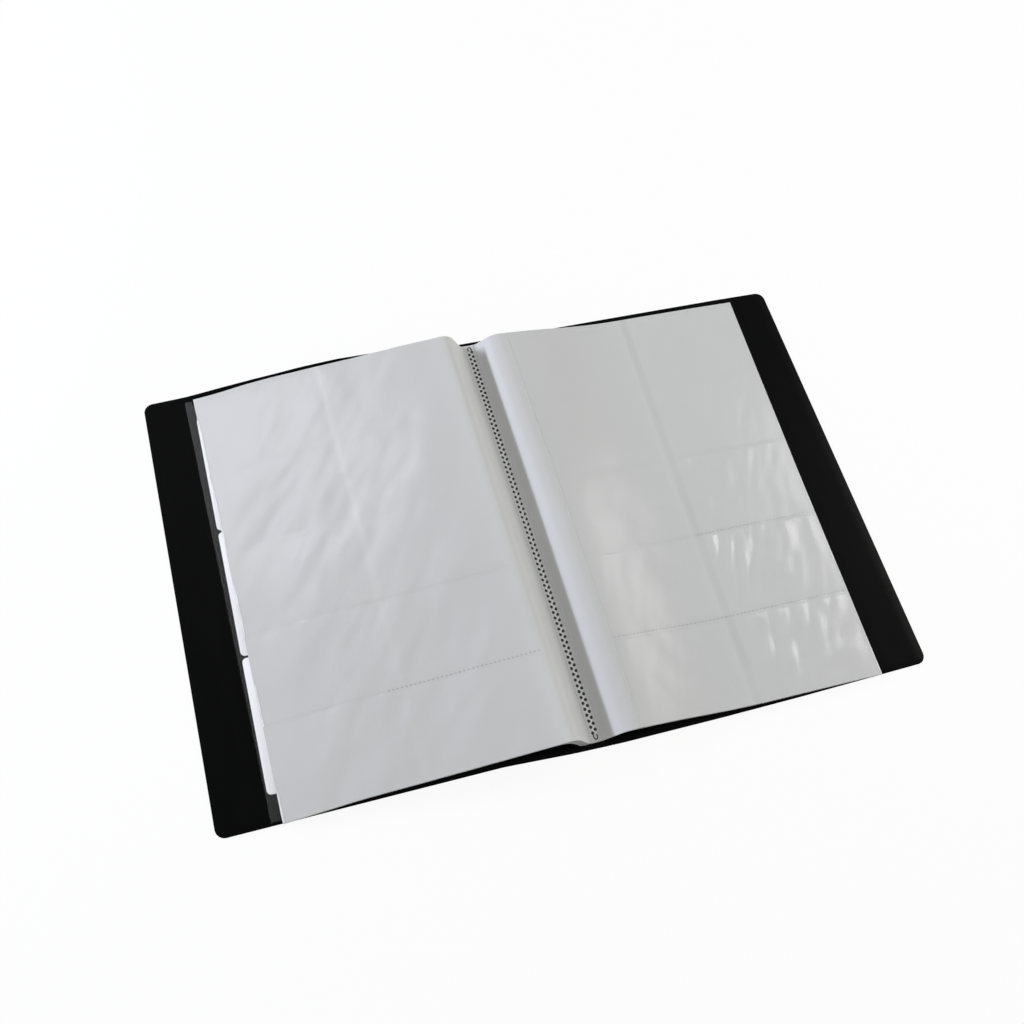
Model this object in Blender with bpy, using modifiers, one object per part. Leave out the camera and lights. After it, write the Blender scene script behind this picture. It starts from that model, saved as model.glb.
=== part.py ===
"""Business card album lying open: scored cover, welded pocket leaves and a cover pocket with cards.

Metres, +Z up. The album lies on its cover with the spine along Y, the front cover on the -X side and
the back cover on the +X side. The origin is under the middle of the spine, on the table.
"""

import math

import bmesh
import bpy
from mathutils import Matrix

# Card: the standard card that the pockets and the cover are sized for
CARD_LENGTH = 0.090
CARD_WIDTH = 0.054
CARD_THICKNESS = 0.0003
CARD_CORNER_RADIUS = 0.003

# Cover: one scored polypropylene sheet
COVER_PANEL_WIDTH = 0.232
COVER_END_MARGIN = 0.00475
COVER_THICKNESS = 0.0008
COVER_CORNER_RADIUS = 0.0065
SPINE_WIDTH = 0.026
CREASE_GAP = 0.0004

# Pocket leaves: a white sheet between two clear films, welded into two columns of pockets
LEAVES_PER_SIDE = 5
POCKET_ROWS = 5
POCKET_COLUMNS = 2
POCKET_SLACK = 0.002
LEAF_HEAD_MARGIN = 0.0036
LEAF_FOOT_MARGIN = 0.0004
LEAF_EDGE_SEAM = 0.0005
SHEET_THICKNESS = 0.00015
FILM_THICKNESS = 0.00008
FILM_GAP = 0.0001
LEAF_GAP = 0.00015
FOLD_GAP = 0.0005

# Pocket mouths: a slit in the film near the top of every pocket
MOUTH_INSET = 0.0022
MOUTH_OPENING = 0.0007
MOUTH_SIDE_SEAM = 0.0018

# Gutter weld: the leaves' inner margins fused into one strip on the spine
WELD_WIDTH = 0.008
WELD_POINT_RADIUS = 0.0009
WELD_POINT_PITCH = 0.004
WELD_COLUMN_OFFSET = 0.0013
WELD_END_MARGIN = 0.003
SEAT_GAP = 0.0003

# Leaf margins: how they rise out of the gutter and fold over at the crest, left and right
MARGIN_WIDTH = 0.0288
LEFT_LEAN = math.radians(60.0)
LEFT_CREST_HEIGHT = 0.0192
LEFT_CREST_RADIUS = 0.008
LEFT_OUTER_SLOPE = math.radians(5.4)
RIGHT_LEAN = math.radians(48.0)
RIGHT_CREST_HEIGHT = 0.0136
RIGHT_CREST_RADIUS = 0.012
RIGHT_OUTER_SLOPE = math.radians(2.0)
FOOT_RADIUS = 0.003
EASE_START = 0.050
EASE_LENGTH = 0.030
ARC_STEP = math.radians(11.0)
LEAF_REST_GAP = 0.0004

# Cover pocket: a clear film welded inside the front cover, open at the fore edge, with a row of cards
CARD_COUNT = 3
CARD_SPACING = 0.0015
CARD_CLEARANCE = 0.0001
CARD_SIDE_CLEARANCE = 0.0004
CARD_TUCK = 0.0035
COVER_FILM_THICKNESS = 0.00012
COVER_FILM_OVERHANG = 0.0085
COVER_FILM_INNER_WELD = 0.004
COVER_FILM_END_WELD = 0.013

CORNER_STEPS = 6
SAME_PLACE = 0.00001

# Sizes that follow from the ones above
CARD_PITCH = CARD_LENGTH + CARD_SPACING
COVER_FILM_LENGTH = CARD_COUNT * CARD_PITCH + 2 * COVER_FILM_END_WELD
COVER_HEIGHT = COVER_FILM_LENGTH + 2 * COVER_END_MARGIN
LEAF_HEIGHT = COVER_HEIGHT - LEAF_HEAD_MARGIN - LEAF_FOOT_MARGIN
LEAF_TOP = COVER_HEIGHT / 2 - LEAF_HEAD_MARGIN
LEAF_BOTTOM = LEAF_TOP - LEAF_HEIGHT
POCKET_WIDTH = CARD_LENGTH + POCKET_SLACK
POCKET_HEIGHT = (LEAF_HEIGHT - 2 * LEAF_EDGE_SEAM) / POCKET_ROWS
LEAF_THICKNESS = SHEET_THICKNESS + 2 * (FILM_THICKNESS + FILM_GAP)
LEAF_PITCH = LEAF_THICKNESS + LEAF_GAP
STACK_THICKNESS = LEAVES_PER_SIDE * LEAF_PITCH
MARGIN_THICKNESS = SHEET_THICKNESS + 2 * FILM_THICKNESS
WELD_BASE = COVER_THICKNESS + SEAT_GAP
WELD_TOP = WELD_BASE + STACK_THICKNESS
CREASE_X = SPINE_WIDTH / 2
PANEL_LENGTH = POCKET_COLUMNS * POCKET_WIDTH
POCKET_FLOOR = COVER_THICKNESS + CARD_CLEARANCE
POCKET_CEILING = POCKET_FLOOR + CARD_THICKNESS + CARD_CLEARANCE
COVER_FILM_TOP = POCKET_CEILING + COVER_FILM_THICKNESS


class LeafSide:
    """The rest shape of the leaves on one side of the gutter, as seen along the spine.

    Places are (u, z, heading): u runs from the spine's middle towards the fore edge. A run is a list of
    moves, each a length and the turn made over it.
    """

    def __init__(self, name, sign, lean, crest_height, crest_radius, outer_slope, floor):
        self.name = name
        self.sign = sign
        landing = floor + LEAF_REST_GAP + STACK_THICKNESS
        crest = WELD_TOP + crest_height
        outer_length = PANEL_LENGTH - EASE_START - EASE_LENGTH / 2
        inner_drop = crest - landing - outer_length * math.sin(outer_slope)
        self.inner_slope = math.asin(inner_drop / (EASE_START + EASE_LENGTH / 2))
        half_turn = (lean + self.inner_slope) / 2
        arcs_rise = (FOOT_RADIUS + crest_radius) * (1 - math.cos(lean))
        root_length = (crest_height - arcs_rise) / math.sin(lean)
        half_arc = crest_radius * half_turn

        self.margin_run = [(FOOT_RADIUS * lean, lean), (root_length, 0.0), (half_arc, -half_turn)]
        band_length = MARGIN_WIDTH - run_length(self.margin_run)
        self.band_run = [(half_arc, -half_turn), (band_length - half_arc, 0.0)]
        self.panel_run = [
            (EASE_START, 0.0),
            (EASE_LENGTH, self.inner_slope - outer_slope),
            (PANEL_LENGTH - EASE_START - EASE_LENGTH, 0.0),
        ]
        self.weld_line = (WELD_WIDTH / 2, WELD_TOP, 0.0)
        self.crest_line = walk(self.weld_line, self.margin_run, run_length(self.margin_run))
        self.seam_line = walk(self.crest_line, self.band_run, run_length(self.band_run))
        self.fore_edge = walk(self.seam_line, self.panel_run, run_length(self.panel_run))

    def axis(self, line):
        """The world point on the fold or weld line that a joint turns about."""
        return (self.sign * line[0], 0.0, line[1])


def run_length(run):
    """The length of a run of moves."""
    return sum(length for length, turn in run)


def walk(start, run, distance):
    """The place and heading after a distance along a run of lines and arcs."""
    u, z, heading = start
    for length, turn in run:
        step = min(distance, length)
        half_bend = turn * step / length / 2
        chord = step * math.sin(half_bend) / half_bend if half_bend else step
        u += chord * math.cos(heading + half_bend)
        z += chord * math.sin(heading + half_bend)
        heading += 2 * half_bend
        distance -= step
        if distance <= 0:
            break
    return u, z, heading


def stations(run, extra=()):
    """Distances along a run where a strip needs a line: its ends, its bends and any extra ones."""
    total = run_length(run)
    marks = {0.0, total}
    reached = 0.0
    for length, turn in run:
        count = max(1, math.ceil(abs(turn) / ARC_STEP))
        marks.update(reached + length * index / count for index in range(count + 1))
        reached += length
    kept = []
    for mark in sorted(marks | set(extra)):
        if not kept or mark - kept[-1] > SAME_PLACE:
            kept.append(mark)
    kept[-1] = total
    return kept


def make_material(name, colour, roughness, alpha=1.0):
    """A Principled material in the piece's own colour and finish."""
    material = bpy.data.materials.new(name)
    material.use_nodes = True
    shader = material.node_tree.nodes["Principled BSDF"]
    shader.inputs["Base Color"].default_value = (*colour, 1.0)
    shader.inputs["Roughness"].default_value = roughness
    shader.inputs["Metallic"].default_value = 0.0
    shader.inputs["Alpha"].default_value = alpha
    material.diffuse_color = (*colour, alpha)
    return material


def make_axis(name, collection, location, parent=None):
    """An empty on a joint's axis, which carries the pieces that turn or slide there."""
    empty = bpy.data.objects.new(name, None)
    empty.empty_display_size = WELD_WIDTH
    collection.objects.link(empty)
    empty["axis_point"] = location
    base = parent["axis_point"] if parent else (0.0, 0.0, 0.0)
    empty.parent = parent
    empty.location = [own - other for own, other in zip(location, base)]
    return empty


def place(piece, collection, material, axis):
    """Link a piece that is modelled in world coordinates, and hang it on its axis."""
    collection.objects.link(piece)
    piece.data.materials.append(material)
    piece.parent = axis
    piece.matrix_parent_inverse = Matrix.Translation([-value for value in axis["axis_point"]])
    return piece


def rounded_outline(left, right, low, high, radii):
    """Points round a rectangle; radii are for its low left, low right, high right and high left corners."""
    corners = [(left, low, 1, 1), (right, low, -1, 1), (right, high, -1, -1), (left, high, 1, -1)]
    points = []
    for index, ((x, y, inward_x, inward_y), radius) in enumerate(zip(corners, radii)):
        if not radius:
            points.append((x, y))
            continue
        start = math.pi + index * math.pi / 2
        for step in range(CORNER_STEPS + 1):
            angle = start + step * math.pi / 2 / CORNER_STEPS
            points.append((
                x + radius * (inward_x + math.cos(angle)),
                y + radius * (inward_y + math.sin(angle)),
            ))
    return points


def flat_sheet(name, outline, base, thickness):
    """A flat sheet cut to an outline, standing on a height."""
    curve = bpy.data.curves.new(name, "CURVE")
    curve.dimensions = "2D"
    curve.fill_mode = "BOTH"
    curve.extrude = thickness / 2
    spline = curve.splines.new("POLY")
    spline.points.add(len(outline) - 1)
    for point, (x, y) in zip(spline.points, outline):
        point.co = (x, y, 0.0, 1.0)
    spline.use_cyclic_u = True
    piece = bpy.data.objects.new(name, curve)
    piece.location = (0.0, 0.0, base + thickness / 2)
    return piece


def box_mesh(name, low, high):
    """A box between two corners."""
    mesh = bpy.data.meshes.new(name)
    box = bmesh.new()
    bmesh.ops.create_cube(box, size=1.0)
    size = [top - bottom for bottom, top in zip(low, high)]
    middle = [(top + bottom) / 2 for bottom, top in zip(low, high)]
    bmesh.ops.scale(box, vec=size, verts=box.verts)
    bmesh.ops.translate(box, vec=middle, verts=box.verts)
    box.to_mesh(mesh)
    box.free()
    return bpy.data.objects.new(name, mesh)


def repeat(piece, count, pitch):
    """Repeat a piece along Y."""
    array = piece.modifiers.new("rows", "ARRAY")
    array.use_relative_offset = False
    array.use_constant_offset = True
    array.constant_offset_displace = (0.0, pitch, 0.0)
    array.count = count


def cut(piece, cutter, cutters):
    """Take a cutter out of a piece."""
    cutters.objects.link(cutter)
    cutter.hide_render = True
    cutter.display_type = "WIRE"
    boolean = piece.modifiers.new(cutter.name, "BOOLEAN")
    boolean.operation = "DIFFERENCE"
    boolean.solver = "EXACT"
    boolean.object = cutter


def leaf_strip(name, side, start, run, offset, thickness, rows=None, mouths=None):
    """A strip of leaf along a run: an open surface at an offset below the leaf's face, then Solidify.

    rows are its lines along Y. mouths holds the spans along the run and along Y that are cut open.
    """
    rows = rows or [LEAF_BOTTOM, LEAF_TOP]
    spans_along, spans_across = mouths or ([], [])
    marks = stations(run, [end for span in spans_along for end in span])
    columns = [walk(start, run, mark) for mark in marks]
    last = len(columns) - 1
    surface = bmesh.new()
    bmesh.ops.create_grid(surface, x_segments=last, y_segments=len(rows) - 1, size=1.0)
    open_faces = []
    for face in surface.faces:
        middle = face.calc_center_median()
        column = int((middle.x + 1) / 2 * last)
        row = int((middle.y + 1) / 2 * (len(rows) - 1))
        mark = (marks[column] + marks[column + 1]) / 2
        height = (rows[row] + rows[row + 1]) / 2
        in_span = any(low < mark < high for low, high in spans_along)
        if in_span and any(low < height < high for low, high in spans_across):
            open_faces.append(face)
    for vertex in surface.verts:
        column = round((vertex.co.x + 1) / 2 * last)
        row = round((vertex.co.y + 1) / 2 * (len(rows) - 1))
        u, z, heading = columns[column]
        trim = {0: FOLD_GAP / 2, last: -FOLD_GAP / 2}.get(column, 0.0)
        u += offset * math.sin(heading) + trim * math.cos(heading)
        z += -offset * math.cos(heading) + trim * math.sin(heading)
        vertex.co = (side.sign * u, rows[row], z)
    bmesh.ops.delete(surface, geom=open_faces, context="FACES")
    if side.sign < 0:
        bmesh.ops.reverse_faces(surface, faces=surface.faces)
    mesh = bpy.data.meshes.new(name)
    surface.to_mesh(mesh)
    surface.free()
    piece = bpy.data.objects.new(name, mesh)
    solidify = piece.modifiers.new("thickness", "SOLIDIFY")
    solidify.thickness = thickness
    solidify.offset = -1.0
    solidify.use_even_offset = True
    return piece


def mouth_spans():
    """Where the pocket mouths lie along a leaf's panel and along Y."""
    along = []
    for column in range(POCKET_COLUMNS):
        start = column * POCKET_WIDTH
        along.append((start + MOUTH_SIDE_SEAM, start + POCKET_WIDTH - MOUTH_SIDE_SEAM))
    across = []
    for row in range(POCKET_ROWS):
        pocket_top = LEAF_TOP - LEAF_EDGE_SEAM - row * POCKET_HEIGHT
        across.append((pocket_top - MOUTH_INSET - MOUTH_OPENING, pocket_top - MOUTH_INSET))
    return along, across


def film_rows():
    """The film's lines along Y: its two ends and both lips of every pocket mouth."""
    lines = [LEAF_BOTTOM, LEAF_TOP]
    for low, high in mouth_spans()[1]:
        lines += [low, high]
    return sorted(lines)


def build_cover(parts, axes, material):
    """The front cover, spine and back cover, parted along the two creases."""
    half_height = COVER_HEIGHT / 2
    inner = CREASE_X + CREASE_GAP / 2
    outer = CREASE_X + COVER_PANEL_WIDTH
    radius = COVER_CORNER_RADIUS
    front = rounded_outline(-outer, -inner, -half_height, half_height, (radius, 0, 0, radius))
    back = rounded_outline(inner, outer, -half_height, half_height, (0, radius, radius, 0))
    half_spine = CREASE_X - CREASE_GAP / 2
    spine = rounded_outline(-half_spine, half_spine, -half_height, half_height, (0, 0, 0, 0))
    place(flat_sheet("front_cover", front, 0.0, COVER_THICKNESS), parts, material, axes["front_cover"])
    place(flat_sheet("spine", spine, 0.0, COVER_THICKNESS), parts, material, axes["spine"])
    place(flat_sheet("back_cover", back, 0.0, COVER_THICKNESS), parts, material, axes["back_cover"])


def build_weld_strip(parts, cutters, axes, material):
    """The gutter strip with two staggered columns of weld points, down to the black spine."""
    half_width = WELD_WIDTH / 2
    low = (-half_width, LEAF_BOTTOM, WELD_BASE)
    high = (half_width, LEAF_TOP, WELD_TOP)
    strip = place(box_mesh("gutter_weld_strip", low, high), parts, material, axes["spine"])
    count = int((LEAF_HEIGHT - 2 * WELD_END_MARGIN) / WELD_POINT_PITCH)
    first = (LEAF_BOTTOM + LEAF_TOP) / 2 - (count - 1) * WELD_POINT_PITCH / 2
    for column in (-1, 1):
        mesh = bpy.data.meshes.new("weld_point")
        point = bmesh.new()
        bmesh.ops.create_cone(
            point, cap_ends=True, segments=4, radius1=WELD_POINT_RADIUS, radius2=WELD_POINT_RADIUS,
            depth=2 * STACK_THICKNESS,
        )
        stagger = column * WELD_POINT_PITCH / 4
        middle = (column * WELD_COLUMN_OFFSET, first + stagger, (WELD_BASE + WELD_TOP) / 2)
        bmesh.ops.translate(point, vec=middle, verts=point.verts)
        point.to_mesh(mesh)
        point.free()
        cutter = bpy.data.objects.new("weld_points_left" if column < 0 else "weld_points_right", mesh)
        repeat(cutter, count, WELD_POINT_PITCH)
        cut(strip, cutter, cutters)


def build_leaf(parts, axes, materials, side, number, turns):
    """One pocket leaf: its margin, its white sheet and a clear film on both faces.

    Leaf 1 lies on top. A leaf that turns by itself has its fold band as a strip of its own.
    """
    name = f"{side.name}_leaf_{number}"
    margin_body = "turning_margin" if turns else f"{side.name}_margins"
    panel_body = "turning_leaf" if turns else f"{side.name}_leaves"
    top = (number - 1) * LEAF_PITCH
    sheet_top = top + FILM_THICKNESS + FILM_GAP
    under_top = sheet_top + SHEET_THICKNESS + FILM_GAP
    white = materials["leaf_sheet"]
    clear = materials["pocket_film"]

    margin = leaf_strip(
        f"{name}_margin", side, side.weld_line, side.margin_run, top + FILM_GAP, MARGIN_THICKNESS
    )
    place(margin, parts, white, axes[margin_body])
    if turns:
        band = leaf_strip(
            f"{name}_fold_band", side, side.crest_line, side.band_run, top + FILM_GAP, MARGIN_THICKNESS
        )
        place(band, parts, white, axes["turning_band"])
        sheet = leaf_strip(
            f"{name}_sheet", side, side.seam_line, side.panel_run, sheet_top, SHEET_THICKNESS
        )
    else:
        whole_run = side.band_run + side.panel_run
        sheet = leaf_strip(f"{name}_sheet", side, side.crest_line, whole_run, sheet_top, SHEET_THICKNESS)
    place(sheet, parts, white, axes[panel_body])
    for face, offset in (("upper", top), ("lower", under_top)):
        film = leaf_strip(
            f"{name}_{face}_film", side, side.seam_line, side.panel_run, offset, FILM_THICKNESS,
            film_rows(), mouth_spans(),
        )
        place(film, parts, clear, axes[panel_body])


def build_cover_pocket(parts, cutters, axes, materials, fore_edge):
    """The clear pocket inside the front cover and the three cards in it."""
    film_edge = -(fore_edge + COVER_FILM_OVERHANG)
    card_edge = film_edge + CARD_TUCK
    pocket_end = card_edge + CARD_WIDTH + CARD_SIDE_CLEARANCE
    half_length = COVER_FILM_LENGTH / 2
    low = (film_edge, -half_length, POCKET_FLOOR)
    high = (pocket_end + COVER_FILM_INNER_WELD, half_length, COVER_FILM_TOP)
    film = place(box_mesh("cover_pocket_film", low, high), parts, materials["pocket_film"],
                 axes["front_cover"])

    first = -(CARD_COUNT - 1) * CARD_PITCH / 2
    half_pocket = CARD_LENGTH / 2 + CARD_SIDE_CLEARANCE
    cavity_low = (film_edge - CARD_TUCK, first - half_pocket, 0.0)
    cavity_high = (pocket_end, first + half_pocket, POCKET_CEILING)
    cavity = box_mesh("card_pockets", cavity_low, cavity_high)
    repeat(cavity, CARD_COUNT, CARD_PITCH)
    cut(film, cavity, cutters)

    for number in range(1, CARD_COUNT + 1):
        middle = first + (CARD_COUNT - number) * CARD_PITCH
        outline = rounded_outline(
            card_edge, card_edge + CARD_WIDTH, middle - CARD_LENGTH / 2, middle + CARD_LENGTH / 2,
            (CARD_CORNER_RADIUS,) * 4,
        )
        card = flat_sheet(f"card_{number}", outline, POCKET_FLOOR, CARD_THICKNESS)
        place(card, parts, materials["card"], axes[f"card_{number}"])


def build_axes(parts, left, right):
    """One empty for each moving body, on the line that it folds, turns or slides along."""
    spine = make_axis("spine_base", parts, (0.0, 0.0, 0.0))
    front = make_axis("front_crease", parts, (-CREASE_X, 0.0, COVER_THICKNESS), spine)
    back = make_axis("back_crease", parts, (CREASE_X, 0.0, COVER_THICKNESS), spine)
    axes = {"spine": spine, "front_cover": front, "back_cover": back}
    for side in (left, right):
        margins = make_axis(f"{side.name}_weld_line", parts, side.axis(side.weld_line), spine)
        leaves = make_axis(f"{side.name}_crest_line", parts, side.axis(side.crest_line), margins)
        axes[f"{side.name}_margins"] = margins
        axes[f"{side.name}_leaves"] = leaves
    weld_point = left.axis(left.weld_line)
    margin = make_axis("turning_margin_line", parts, weld_point, axes["left_margins"])
    band = make_axis("turning_band_line", parts, weld_point, axes["left_leaves"])
    leaf = make_axis("turning_seam_line", parts, left.axis(left.seam_line), band)
    axes.update({"turning_margin": margin, "turning_band": band, "turning_leaf": leaf})
    for number in range(1, CARD_COUNT + 1):
        axes[f"card_{number}"] = make_axis(f"card_{number}_slide", parts, (-CREASE_X, 0.0, 0.0), front)
    return axes


def album_sides():
    """The left and right leaves' rest shapes; the left ones lie over the cover pocket."""
    left = LeafSide(
        "left", -1, LEFT_LEAN, LEFT_CREST_HEIGHT, LEFT_CREST_RADIUS, LEFT_OUTER_SLOPE, COVER_FILM_TOP
    )
    right = LeafSide(
        "right", 1, RIGHT_LEAN, RIGHT_CREST_HEIGHT, RIGHT_CREST_RADIUS, RIGHT_OUTER_SLOPE, COVER_THICKNESS
    )
    return left, right


def main():
    """Build the album into its own collection."""
    for item in list(bpy.data.objects):
        bpy.data.objects.remove(item, do_unlink=True)
    parts = bpy.data.collections.new("business_card_album")
    cutters = bpy.data.collections.new("cutters")
    bpy.context.scene.collection.children.link(parts)
    bpy.context.scene.collection.children.link(cutters)
    materials = {
        "cover": make_material("cover", (0.008, 0.009, 0.010), 0.42),
        "leaf_sheet": make_material("leaf_sheet", (0.62, 0.62, 0.64), 0.5),
        "pocket_film": make_material("pocket_film", (0.85, 0.86, 0.88), 0.18, 0.25),
        "card": make_material("card", (0.86, 0.86, 0.87), 0.45),
    }
    left, right = album_sides()
    axes = build_axes(parts, left, right)
    build_cover(parts, axes, materials["cover"])
    build_weld_strip(parts, cutters, axes, materials["leaf_sheet"])
    for side in (left, right):
        for number in range(1, LEAVES_PER_SIDE + 1):
            build_leaf(parts, axes, materials, side, number, side is left and number == 1)
    build_cover_pocket(parts, cutters, axes, materials, left.fore_edge[0])


main()
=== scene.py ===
"""Dress the business card album: grained black cover, pocket leaves in clear film, gutter weld and cards.

Everything is in metres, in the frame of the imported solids: the spine lies along Y, the front cover on the
-X side, and the table is at Z 0.
"""

import logging
import math
from dataclasses import dataclass, field
from enum import Enum
from typing import Any, Callable, Optional, Union

import bmesh
import bpy
import numpy as np
from mathutils import Matrix, Vector, noise


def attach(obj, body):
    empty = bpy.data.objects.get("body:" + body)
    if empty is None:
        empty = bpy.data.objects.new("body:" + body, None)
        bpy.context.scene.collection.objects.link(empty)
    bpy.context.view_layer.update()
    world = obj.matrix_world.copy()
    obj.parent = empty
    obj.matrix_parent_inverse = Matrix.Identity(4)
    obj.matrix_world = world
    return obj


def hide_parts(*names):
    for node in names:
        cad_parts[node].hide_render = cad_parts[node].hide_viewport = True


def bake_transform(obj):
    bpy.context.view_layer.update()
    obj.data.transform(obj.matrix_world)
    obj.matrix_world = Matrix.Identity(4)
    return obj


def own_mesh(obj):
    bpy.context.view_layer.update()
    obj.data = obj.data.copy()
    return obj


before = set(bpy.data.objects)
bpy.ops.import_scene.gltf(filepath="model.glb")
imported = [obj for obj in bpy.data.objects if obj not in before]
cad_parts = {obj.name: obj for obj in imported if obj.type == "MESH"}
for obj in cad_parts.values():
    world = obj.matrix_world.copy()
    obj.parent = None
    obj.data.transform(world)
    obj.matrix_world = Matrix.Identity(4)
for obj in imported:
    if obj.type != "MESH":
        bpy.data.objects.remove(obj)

log = logging.getLogger("album")

Colour = tuple[float, float, float]
Point = tuple[float, float, float]
Grid = np.ndarray
Value = Union[float, Grid]
Line = tuple[Grid, Grid, Grid]

# Name of the sheet's tone attribute: darker along the seams, paler where it paints a highlight along the
# column crease and the crest.
SEAM_TONE_AND_HIGHLIGHT = "seam_tone"
NOISE_MIDDLE = 0.5
NOISE_ROUGHNESS = 0.55
SAME_PLACE = 1e-7
MARK_DIGITS = 7
STRAIGHT = 1e-9
SHELL_CREASE = math.radians(40.0)
PLATE_CREASE = math.radians(35.0)
EASE_SEGMENTS = 2
DOME_SEGMENTS = 8
DOME_RINGS = 4
PAGE_TOP = 0.1514
PAGE_BOTTOM = -0.1546
HALF_PAGE = 0.150
WELD_OFFSET = 0.0008
WELD_LEAN = 0.0018
WELD_RISE = 0.0024


class Side(Enum):
    """The two halves of the open album, with the sign of X."""

    LEFT = -1
    RIGHT = 1

    @property
    def label(self) -> str:
        """The side's name as the nodes and bodies spell it."""
        return self.name.lower()


class Face(Enum):
    """The two faces of a leaf."""

    UPPER = "upper"
    LOWER = "lower"


# ---------------------------------------------------------------- shader maths


class Wire:
    """A value socket of a shader tree; the usual operators add Math nodes."""

    def __init__(self, tree: "NodeBench", socket: bpy.types.NodeSocket) -> None:
        """Keep the tree and the socket."""
        self.tree = tree
        self.socket = socket

    def _math(self, operation: str, first: "Number", second: "Number") -> "Wire":
        """A Math node on two values.

        Args:
            operation: the node's operation.
            first: the first value, a wire or a plain number.
            second: the second value.

        Returns:
            The result.
        """
        node = self.tree.add("ShaderNodeMath", {"operation": operation}, {0: first, 1: second})
        return Wire(self.tree, node.outputs[0])

    def __add__(self, other: "Number") -> "Wire":
        """The sum with another value."""
        return self._math("ADD", self, other)

    __radd__ = __add__

    def __sub__(self, other: "Number") -> "Wire":
        """The difference from another value."""
        return self._math("SUBTRACT", self, other)

    def __rsub__(self, other: "Number") -> "Wire":
        """Another value less this one."""
        return self._math("SUBTRACT", other, self)

    def __mul__(self, other: "Number") -> "Wire":
        """The product with another value."""
        return self._math("MULTIPLY", self, other)

    __rmul__ = __mul__

    def __pow__(self, other: "Number") -> "Wire":
        """This value raised to another one."""
        return self._math("POWER", self, other)

    def __rpow__(self, other: "Number") -> "Wire":
        """Another value raised to this one."""
        return self._math("POWER", other, self)

    def swing(self, width: float) -> "Wire":
        """A noise pattern's swing about 0, with a width from its lowest to its highest value."""
        return (self - NOISE_MIDDLE) * width


Number = Union[float, Wire]


class NodeBench:
    """A node tree, and the one way nodes get into it."""

    def __init__(self, tree: bpy.types.NodeTree) -> None:
        """Take a tree and empty it.

        Args:
            tree: the tree.
        """
        self.tree = tree
        self.tree.nodes.clear()

    def add(
        self,
        kind: str,
        settings: Optional[dict[str, Any]] = None,
        sockets: Optional[dict[Union[str, int], Any]] = None,
    ) -> bpy.types.Node:
        """Add a node, set its options, then its sockets.

        Args:
            kind: the node's type.
            settings: options by name.
            sockets: values, sockets or wires by the input's name or number.

        Returns:
            The node.
        """
        node = self.tree.nodes.new(kind)
        for name, value in (settings or {}).items():
            setattr(node, name, value)
        for key, value in (sockets or {}).items():
            target = node.inputs[key]
            if isinstance(value, Wire):
                self.tree.links.new(value.socket, target)
            elif isinstance(value, bpy.types.NodeSocket):
                self.tree.links.new(value, target)
            else:
                target.default_value = value
        return node

    def seen(self) -> Wire:
        """Tell the camera's looks from plain light.

        Returns:
            1 where the camera looks, straight, in a mirror or through glass, and 0 for plain light.
        """
        path = self.add("ShaderNodeLightPath").outputs
        straight = Wire(self, path["Is Camera Ray"])
        return straight + Wire(self, path["Is Glossy Ray"]) + Wire(self, path["Is Transmission Ray"])

    def mix_shaders(self, share: Wire, first: bpy.types.Node, second: bpy.types.Node) -> bpy.types.Node:
        """Mix two shaders by a value.

        Args:
            share: the second shader's share.
            first: the shader at 0.
            second: the shader at 1.

        Returns:
            The node.
        """
        return self.add("ShaderNodeMixShader", None, {0: share, 1: first.outputs[0], 2: second.outputs[0]})


class FinishTree(NodeBench):
    """A new material and the nodes in it."""

    def __init__(self, name: str) -> None:
        """Start an empty material.

        Args:
            name: the material's name.
        """
        self.material = bpy.data.materials.new(name)
        self.material.use_nodes = True
        super().__init__(self.material.node_tree)

    def place(self, scale: Point = (1.0, 1.0, 1.0), turn: Point = (0.0, 0.0, 0.0)) -> bpy.types.NodeSocket:
        """Object coordinates, turned and then stretched.

        Args:
            scale: the stretch along each axis.
            turn: the turn about each axis, in radians.

        Returns:
            The vector socket.
        """
        coordinates = self.add("ShaderNodeTexCoord").outputs["Object"]
        mapping = self.add(
            "ShaderNodeMapping",
            {"vector_type": "POINT"},
            {"Vector": coordinates, "Rotation": turn, "Scale": scale},
        )
        return mapping.outputs["Vector"]

    def noise(self, vector: bpy.types.NodeSocket, scale: float, detail: float = 2.0) -> Wire:
        """A noise pattern from 0 to 1.

        Args:
            vector: where it is read.
            scale: its frequency, per metre.
            detail: its octaves.

        Returns:
            The value.
        """
        sockets = {"Vector": vector, "Scale": scale, "Detail": detail, "Roughness": NOISE_ROUGHNESS}
        node = self.add("ShaderNodeTexNoise", None, sockets)
        return Wire(self, node.outputs["Fac"])

    def blend_colours(self, share: Wire, first: Colour, second: Colour) -> bpy.types.NodeSocket:
        """A mix of two colours by a value.

        Args:
            share: the second colour's share.
            first: the colour at 0.
            second: the colour at 1.

        Returns:
            The colour socket.
        """
        node = self.add(
            "ShaderNodeMix",
            {"data_type": "RGBA", "clamp_factor": True},
            {0: share, 6: (*first, 1.0), 7: (*second, 1.0)},
        )
        return node.outputs[2]

    def bump(self, height: Wire, distance: float, strength: float = 1.0) -> bpy.types.NodeSocket:
        """A normal from a height pattern.

        Args:
            height: the pattern.
            distance: the height of 1, in metres.
            strength: its share.

        Returns:
            The normal socket.
        """
        sockets = {"Strength": strength, "Distance": distance, "Height": height}
        node = self.add("ShaderNodeBump", None, sockets)
        return node.outputs["Normal"]

    def finish(self, shader: bpy.types.Node) -> bpy.types.Material:
        """Link a shader to the output.

        Args:
            shader: the last shader node.

        Returns:
            The material.
        """
        self.add("ShaderNodeOutputMaterial", None, {"Surface": shader.outputs[0]})
        return self.material


# ---------------------------------------------------------------- finishes


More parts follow.
